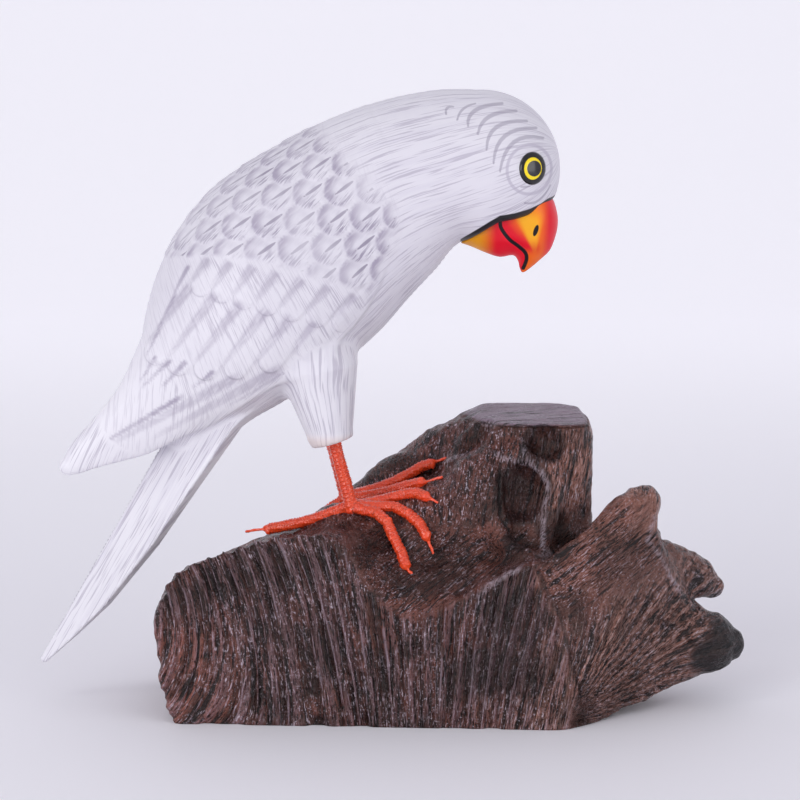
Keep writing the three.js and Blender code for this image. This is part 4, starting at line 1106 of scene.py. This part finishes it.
# Along and across the grain: upright chisel marks, along the horn's ridge, fanned on its right face
def grainPlaces(points):
    x, y, z = points.T
    leanX, leans, changes = zip(*block["chiselLean"])
    lean, change = np.interp(x, leanX, leans), np.interp(x, leanX, changes)
    across = x - lean * (z - 45) - 0.5 * change * (z - 45) ** 2
    places = [np.stack([z, across, 0.3 * y], axis=1)]
    run = np.array((0.74, 0.42, 0.52))
    first = np.cross(run, (0.6, -0.8, 0))
    places.append(points @ np.stack([run, first, np.cross(run, first)], axis=1))
    sawn = smoothStep(126, 127, z)
    places[1] = np.where(sawn[:, None] > 0.5, np.stack([x, y - 0.2 * x, 0 * z], axis=1), places[1])
    overX, overZ = x - block["fanPivot"][0], z - block["fanPivot"][1]
    places.append(np.stack([np.hypot(overX, overZ), np.arctan2(overZ, overX) * 48, 0.4 * y], axis=1))
    bound = np.interp(z, [0, 28, 41, 57, 71], [75, 74, 72, 64, 59])
    rightward = smoothStep(-3, 4, x - bound)
    stump = smoothStep(78, 88, z) * smoothStep(-34, -20, y) * smoothStep(6, 24, x)
    front = smoothStep(-26, -38, y) * smoothStep(4, -4, z - valueAt(frontCrestLine, x)) * (1 - rightward)
    behind = (1 - front) * (1 - rightward)
    saddle = smoothStep(-30, -10, x) * smoothStep(88, 80, z) * smoothStep(20, 0, y) * behind
    hornFront = rightward * smoothStep(38, 62, z - 0.35 * (x - 80)) * (1 - stump)
    sweep = np.maximum(np.maximum(hornFront, saddle * smoothStep(-60, -50, y)), sawn)
    fanned = rightward * (1 - hornFront) * (1 - stump)
    left = smoothStep(-92, -102, x) * (1 - front)
    return places, [1 - sweep - fanned, sweep, fanned], np.clip(front + left, 0, 1)


# How far each place is across the cuts of a gouge, in half turns; a ridge stands at each whole number
def cutTurns(place, pitch, seed):
    wander = noiseAt(place, (2.6 * pitch, 2.2 * pitch, 400), seed)
    return place[:, 1] / pitch + 0.7 * wander


def gougeCuts(turns):
    return 1 - np.abs(np.sin(np.pi * turns))


def nearLines(lines, x, y, z):
    return np.min([chainNear([(*place, 0) for place in line], x, y, z)[0] for line in lines], axis=0)


def blockRelief(points):
    places, shares, front = grainPlaces(points)
    x, y, z = points.T
    turns = [cutTurns(places[0] * (0.25, 1, 1), pitch, 30 + n)
             for n, (pitch, _) in enumerate(block["gouges"])]
    turns.append(cutTurns(places[2] * (0.4, 1, 1), block["fanPitch"], 24))
    chisel = -0.9 + 0.5 * noiseAt(places[0], (18, 1.9, 30), 22)
    for turn, (_, depth) in zip(turns, block["gouges"]):
        chisel = chisel + depth * gougeCuts(turn)
    ridge = 0.8 * noiseAt(places[1], (22, 2.6, 2.6), 23)
    fanned = 1.1 * gougeCuts(turns[2]) - 0.7 + 0.6 * noiseAt(places[2], (16, 2.2, 9), 25)
    plain = 0.9 * noiseAt(points, (16, 16, 16), 41) + 0.5 * noiseAt(points, (6, 6, 6), 43)
    relief = 0.35 * noiseAt(points, (2.4, 2.4, 2.4), 42) + plain * (1 - front)
    onSpur = 1 - 0.85 * smoothStep(108, 124, x)
    grain = [(front, chisel), (shares[0] - front, 0.5 * noiseAt(places[0], (24, 2.4, 6), 26))]
    for share, part in grain + [(shares[1], ridge), (shares[2] * onSpur, fanned)]:
        relief = relief + share * part
    chips = smoothStep(7, 0, z) * smoothStep(-0.1, 0.5, noiseAt(points * (1, 0.3, 0.2), (7, 9, 9), 44))
    sawn = smoothStep(126, 129, z)
    edges = smoothStep(2.4, 0.48, nearLines(block["highlitEdges"], x, y, z))
    seams = smoothStep(1.6, 0.16, nearLines(block["seams"], x, y, z))
    relief = relief + 0.4 * edges - 1.0 * seams
    inward = np.stack([0 * x, 1.9 * chips * front, 0 * x], axis=1)
    return relief * smoothStep(0, 2.5, z) * (1 - 0.75 * sawn), inward, places, turns, shares, front


def blockPaint(points, relief, places, turns, shares, front):
    x, y, z = points.T
    cloud = noiseAt(points, (14, 14, 14), 51)
    tan = smoothStep(40, 100, x + 34 * cloud - 0.3 * (z - 40)) * (1 - 0.65 * shares[1])
    red = smoothStep(-58, -92, x + 20 * cloud) * smoothStep(58, 26, z) + 0.4 * smoothStep(0.1, 0.5, cloud)
    char = smoothStep(126, 141, x + 9 * cloud) * smoothStep(46, 34, z)
    darkHollows = block["hollows"][:block["darkHollows"]]
    hollow = np.min([chainNear(line, x, y, z)[0] for line in darkHollows], axis=0)
    middleX, middleZ, ends, full = block["darkerPatch"]
    darkerPatch = smoothStep(ends, full, np.hypot(x - middleX, z - middleZ) + 16 * cloud) * front
    smooth = smoothStep(-36, -20, x) * smoothStep(86, 76, z) * smoothStep(-44, -36, y) * (1 - front)
    # painted shade inside the dark hollows, also darker over a patch in the middle of the front and over the
    # saddle
    shade = np.maximum(smoothStep(4.5, 0.5, hollow) * (1 - front), np.maximum(0.66 * darkerPatch, 0.5 * smooth))
    values = {
        "grainShare": shares, "cuts": [math.pi * turn for turn in turns], "stain": [tan, red, char],
        # the relief, the sawn top that gets a painted sheen, and the front
        "reliefSheenFront": [relief, smoothStep(126.5, 129, z), front],
        "edgeSeamShade": [nearLines(block["highlitEdges"], x, y, z), nearLines(block["seams"], x, y, z), shade],
    }
    return {**{name: np.stack(parts, axis=1) for name, parts in values.items()},
            **dict(zip(grainNames, places))}


def rootWoodMaterial():
    # Root wood, chiselled and scraped, dark stain under glossy varnish: deep red-brown; painted highlights on
    # ridges, painted shade in hollows
    material, tree, shader = newMaterial("stained_varnished_root_wood")
    shareAt, stainAt, reliefSheenFrontAt, cutAt, edgeSeamShadeAt = [addNode(tree, "SeparateXYZ", links={
        0: addNode(tree, "Attribute", {"attribute_name": name}).outputs["Vector"]}).outputs
        for name in ("grainShare", "stain", "reliefSheenFront", "cuts", "edgeSeamShade")]
    place = addNode(tree, "TexCoord").outputs["Object"]

    # one fibre pattern from the three directions of the grain; scales are per millimetre
    def fibres(along, across, detail):
        blended = 0.5
        for n, name in enumerate(grainNames):
            spot = addNode(tree, "Attribute", {"attribute_name": name}).outputs["Vector"]
            drawn = addNode(tree, "Mapping", {}, {"Vector": spot, "Scale": (along, across, across)})
            noise = addNode(tree, "TexNoise", links={"Vector": drawn, "Scale": 1.0, "Detail": detail,
                                                     "Roughness": 0.62})
            blended = addNode(tree, "Mix", {}, {0: shareAt[n], 2: blended, 3: noise}).outputs[0]
        return blended

    fibre = fibres(0.045, 0.5, 3.0)
    fine = fibres(0.28, 1.6, 2.5)
    cloud = addNode(tree, "TexNoise", links={"Vector": place, "Scale": 60.0, "Detail": 4.0, "Roughness": 0.6})
    crumb = addNode(tree, "TexNoise", links={"Vector": place, "Scale": 1100.0, "Detail": 2.0})
    crests = []
    for n in range(3):
        wave = addNode(tree, "Math", {"operation": "SINE"}, {0: cutAt[n]})
        trough = addNode(tree, "Math", {"operation": "ABSOLUTE"}, {0: wave})
        crests.append(addNode(tree, "Math", {"operation": "SUBTRACT"}, {0: 1.0, 1: trough}).outputs[0])
    # painted light and shade across each broad gouge cut: one flank lighter, the other darker
    double = addNode(tree, "Math", {"operation": "MULTIPLY"}, {0: cutAt[0], 1: 2.0})
    flankShading = addNode(tree, "Math", {"operation": "SINE"}, {0: double})
    onFront, onFan = reliefSheenFrontAt[2], shareAt[2]
    coats = [
        ("#6B4038", 0.7, (cloud, 0.42, 0.6)),
        ("#8C5347", 0.9, (fibre, 0.32, 0.54), stainAt[1]),
        ("#8F5F52", 0.85, (fibre, 0.34, 0.54), stainAt[0]),
        ("#B48D86", 0.75, (fine, 0.48, 0.62), stainAt[0]),
        # painted light on one flank of each broad cut, and painted shade on the other
        ("#7C6269", 0.5, (flankShading, 0.0, 1.0), onFront, (fibre, 0.38, 0.58)),
        ("#180C0C", 0.7, (flankShading, 0.1, -0.9), onFront, (cloud, 0.64, 0.44)),
        # painted shade in the troughs of the fine gouge cuts and of the fanned cuts
        ("#1B1213", 0.4, (crests[1], 0.45, 0.05), onFront, (cloud, 0.38, 0.58)),
        ("#1B1213", 0.4, (crests[2], 0.5, 0.1), onFan),
        # painted shade where the relief sinks into crevices
        ("#130D0E", 0.5, (reliefSheenFrontAt[0], -0.3, -1.4)),
        ("#150A0A", 0.9, (fibre, 0.49, 0.38)),
        ("#100707", 0.95, (fine, 0.47, 0.36)),
        # painted highlights along the crests of the gouge cuts and the fanned cuts
        ("#A08C99", 0.5, (crests[0], 0.74, 0.96), onFront, (fibre, 0.46, 0.58)),
        ("#A08C99", 0.5, (crests[1], 0.72, 0.96), onFront, (fine, 0.44, 0.58)),
        ("#B39A98", 0.6, (crests[2], 0.7, 0.95), onFan, (fine, 0.4, 0.56)),
        # painted glints: pale streaks along the fine fibres and pale specks
        ("#C9BAC8", 0.85, (fine, 0.59, 0.69), (cloud, 0.36, 0.56)),
        ("#BFB2C0", 0.6, (crumb, 0.58, 0.74), (cloud, 0.36, 0.58)),
        # painted shade in the hollows, with the darker front patch and saddle
        ("#1B1112", 0.7, (edgeSeamShadeAt[2], 0.1, 1.0)),
        # painted highlight along the listed edges
        ("#A597A2", 0.65, (edgeSeamShadeAt[0], 2.2, 0.3), (fine, 0.4, 0.58)),
        ("#100B0C", 0.85, (edgeSeamShadeAt[1], 1.4, 0.3)),
        # painted sheen: a lavender-grey reflection over the sawn top
        ("#917F90", 0.85, (reliefSheenFrontAt[1], 0.1, 0.9), (fibre, 0.36, 0.5)),
        ("#0E0E12", 0.9, (stainAt[2], 0.0, 1.0)),
        ("#0E090A", 0.6, (crumb, 0.4, 0.3)),
    ]
    height = fibre
    for pattern, weight in ((fine, 0.6), (crumb, 0.22)):
        height = addNode(tree, "Math", {"operation": "MULTIPLY_ADD"}, {0: pattern, 1: weight, 2: height})
    for crest, limit, weight in zip(crests, (onFront, onFront, onFan), (0.5, 0.35, 0.35)):
        cut = addNode(tree, "Math", {"operation": "MULTIPLY"}, {0: crest, 1: limit})
        height = addNode(tree, "Math", {"operation": "MULTIPLY_ADD"}, {0: cut, 1: weight, 2: height})
    bump = addNode(tree, "Bump", {}, {"Height": height, "Strength": 1.0, "Distance": 0.0018})
    roughness = addNode(tree, "MapRange", {}, {"Value": cloud, "From Min": 0.35, "From Max": 0.7,
                                               "To Min": 0.2, "To Max": 0.4})
    tree.links.new(layPaint(tree, colour("#40231D"), coats), shader.inputs["Base Color"])
    tree.links.new(bump.outputs[0], shader.inputs["Normal"])
    tree.links.new(roughness.outputs[0], shader.inputs["Roughness"])
    shader.inputs["IOR"].default_value = 1.5
    shader.inputs["Specular IOR Level"].default_value = 0.3
    return material


print("building the block")
blockPoints, blockQuads = surfaceOf(blockForm, *block["box"], block["cell"])
relief, inward, *grain = blockRelief(blockPoints)
blockPoints = blockPoints + normalsOf(blockPoints, blockQuads) * relief[:, None] + inward
blockPoints = np.clip(blockPoints, *(np.array(corner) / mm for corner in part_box("base")))
makePiece("base_root_block", blockPoints, blockQuads.tolist(), rootWoodMaterial(),
          blockPaint(blockPoints, relief, *grain), "base")


studio = {
    "elevation": 8, "distance": 1100, "lens": 110, "target": (0, 0, 138),
    "sky": "#EDEDF4", "skyStrength": 0.72,
    # place in metres, size in metres, power in watts
    "softboxes": [((-0.9, -0.7, 1.3), 0.5, 2.0), ((1.1, -1.0, 0.25), 0.9, 6.0), ((-0.9, -1.2, 0.3), 0.9, 9.0),
                   ((0, 0.5, 1.5), 0.9, 0.5)],
    "paper": "#F0EEF4", "paperGlow": 0.25, "glowColour": "#F1F1F5",
    # the sheet in metres: its front end, where it starts to bend, the bend's radius, its top, half width
    "paperFront": -8.0, "paperBack": 1.6, "paperBend": 0.9, "paperTop": 4.0, "paperHalfWidth": 4.0,
    # y places in metres between which the paper's glow grows to its full strength
    "glowRun": (-0.1, 1.6),
}


def makeStudio():
    scene = bpy.context.scene
    target = Vector(studio["target"]) * mm
    lens = bpy.data.cameras.new("studio_camera")
    lens.lens = studio["lens"]
    lens.sensor_width = 36
    lens.clip_start, lens.clip_end = 0.05, 30
    cameraPiece = bpy.data.objects.new("studio_camera", lens)
    scene.collection.objects.link(cameraPiece)
    tilt = math.radians(studio["elevation"])
    cameraPiece.location = target + Vector((0, -math.cos(tilt), math.sin(tilt))) * studio["distance"] * mm
    cameraPiece.rotation_euler = (math.pi / 2 - tilt, 0, 0)
    scene.camera = cameraPiece
    for n, (place, size, power) in enumerate(studio["softboxes"]):
        lamp = bpy.data.lights.new(f"softbox_{n}", "AREA")
        lamp.size, lamp.energy = size, power
        piece = bpy.data.objects.new(f"softbox_{n}", lamp)
        piece.location = place
        piece.rotation_euler = (target - Vector(place)).to_track_quat("-Z", "Y").to_euler()
        piece.visible_camera = False
        scene.collection.objects.link(piece)
    world = bpy.data.worlds.new("pale_room")
    world.use_nodes = True
    background = world.node_tree.nodes["Background"]
    background.inputs["Color"].default_value = colour(studio["sky"])
    background.inputs["Strength"].default_value = studio["skyStrength"]
    scene.world = world
    scene.view_settings.view_transform = "Standard"


def makeFloor():
    # Seamless paper sheet: flat, then curved up behind
    start, bend = studio["paperBack"], studio["paperBend"]
    profile = [(studio["paperFront"], 0.0)]
    profile += [(start + bend * math.sin(turn), bend - bend * math.cos(turn))
                for turn in np.linspace(0, math.pi / 2, 24)]
    profile.append((start + bend, studio["paperTop"]))
    points = [(side * studio["paperHalfWidth"], y, z) for y, z in profile for side in (-1, 1)]
    faces = [(2 * n, 2 * n + 1, 2 * n + 3, 2 * n + 2) for n in range(len(profile) - 1)]
    mesh = bpy.data.meshes.new("paper_sheet")
    mesh.from_pydata(points, [], faces)
    mesh.polygons.foreach_set("use_smooth", [True] * len(faces))
    material, tree, shader = newMaterial("matt_pale_paper")
    shader.inputs["Base Color"].default_value = colour(studio["paper"])
    shader.inputs["Roughness"].default_value = 0.7
    # painted light: the sheet itself glows, more towards its back, standing in for light from behind
    place = addNode(tree, "TexCoord").outputs["Object"]
    backward = addNode(tree, "SeparateXYZ", links={0: place}).outputs[1]
    glow = addNode(tree, "MapRange", {"interpolation_type": "SMOOTHSTEP"},
                   {"Value": backward, "From Min": studio["glowRun"][0],
                    "From Max": studio["glowRun"][1], "To Max": studio["paperGlow"]})
    shader.inputs["Emission Color"].default_value = colour(studio["glowColour"])
    tree.links.new(glow.outputs[0], shader.inputs["Emission Strength"])
    mesh.materials.append(material)
    sheet = bpy.data.objects.new("paper_sheet", mesh)
    bpy.context.scene.collection.objects.link(sheet)


makeStudio()
makeFloor()
print("studio ready")
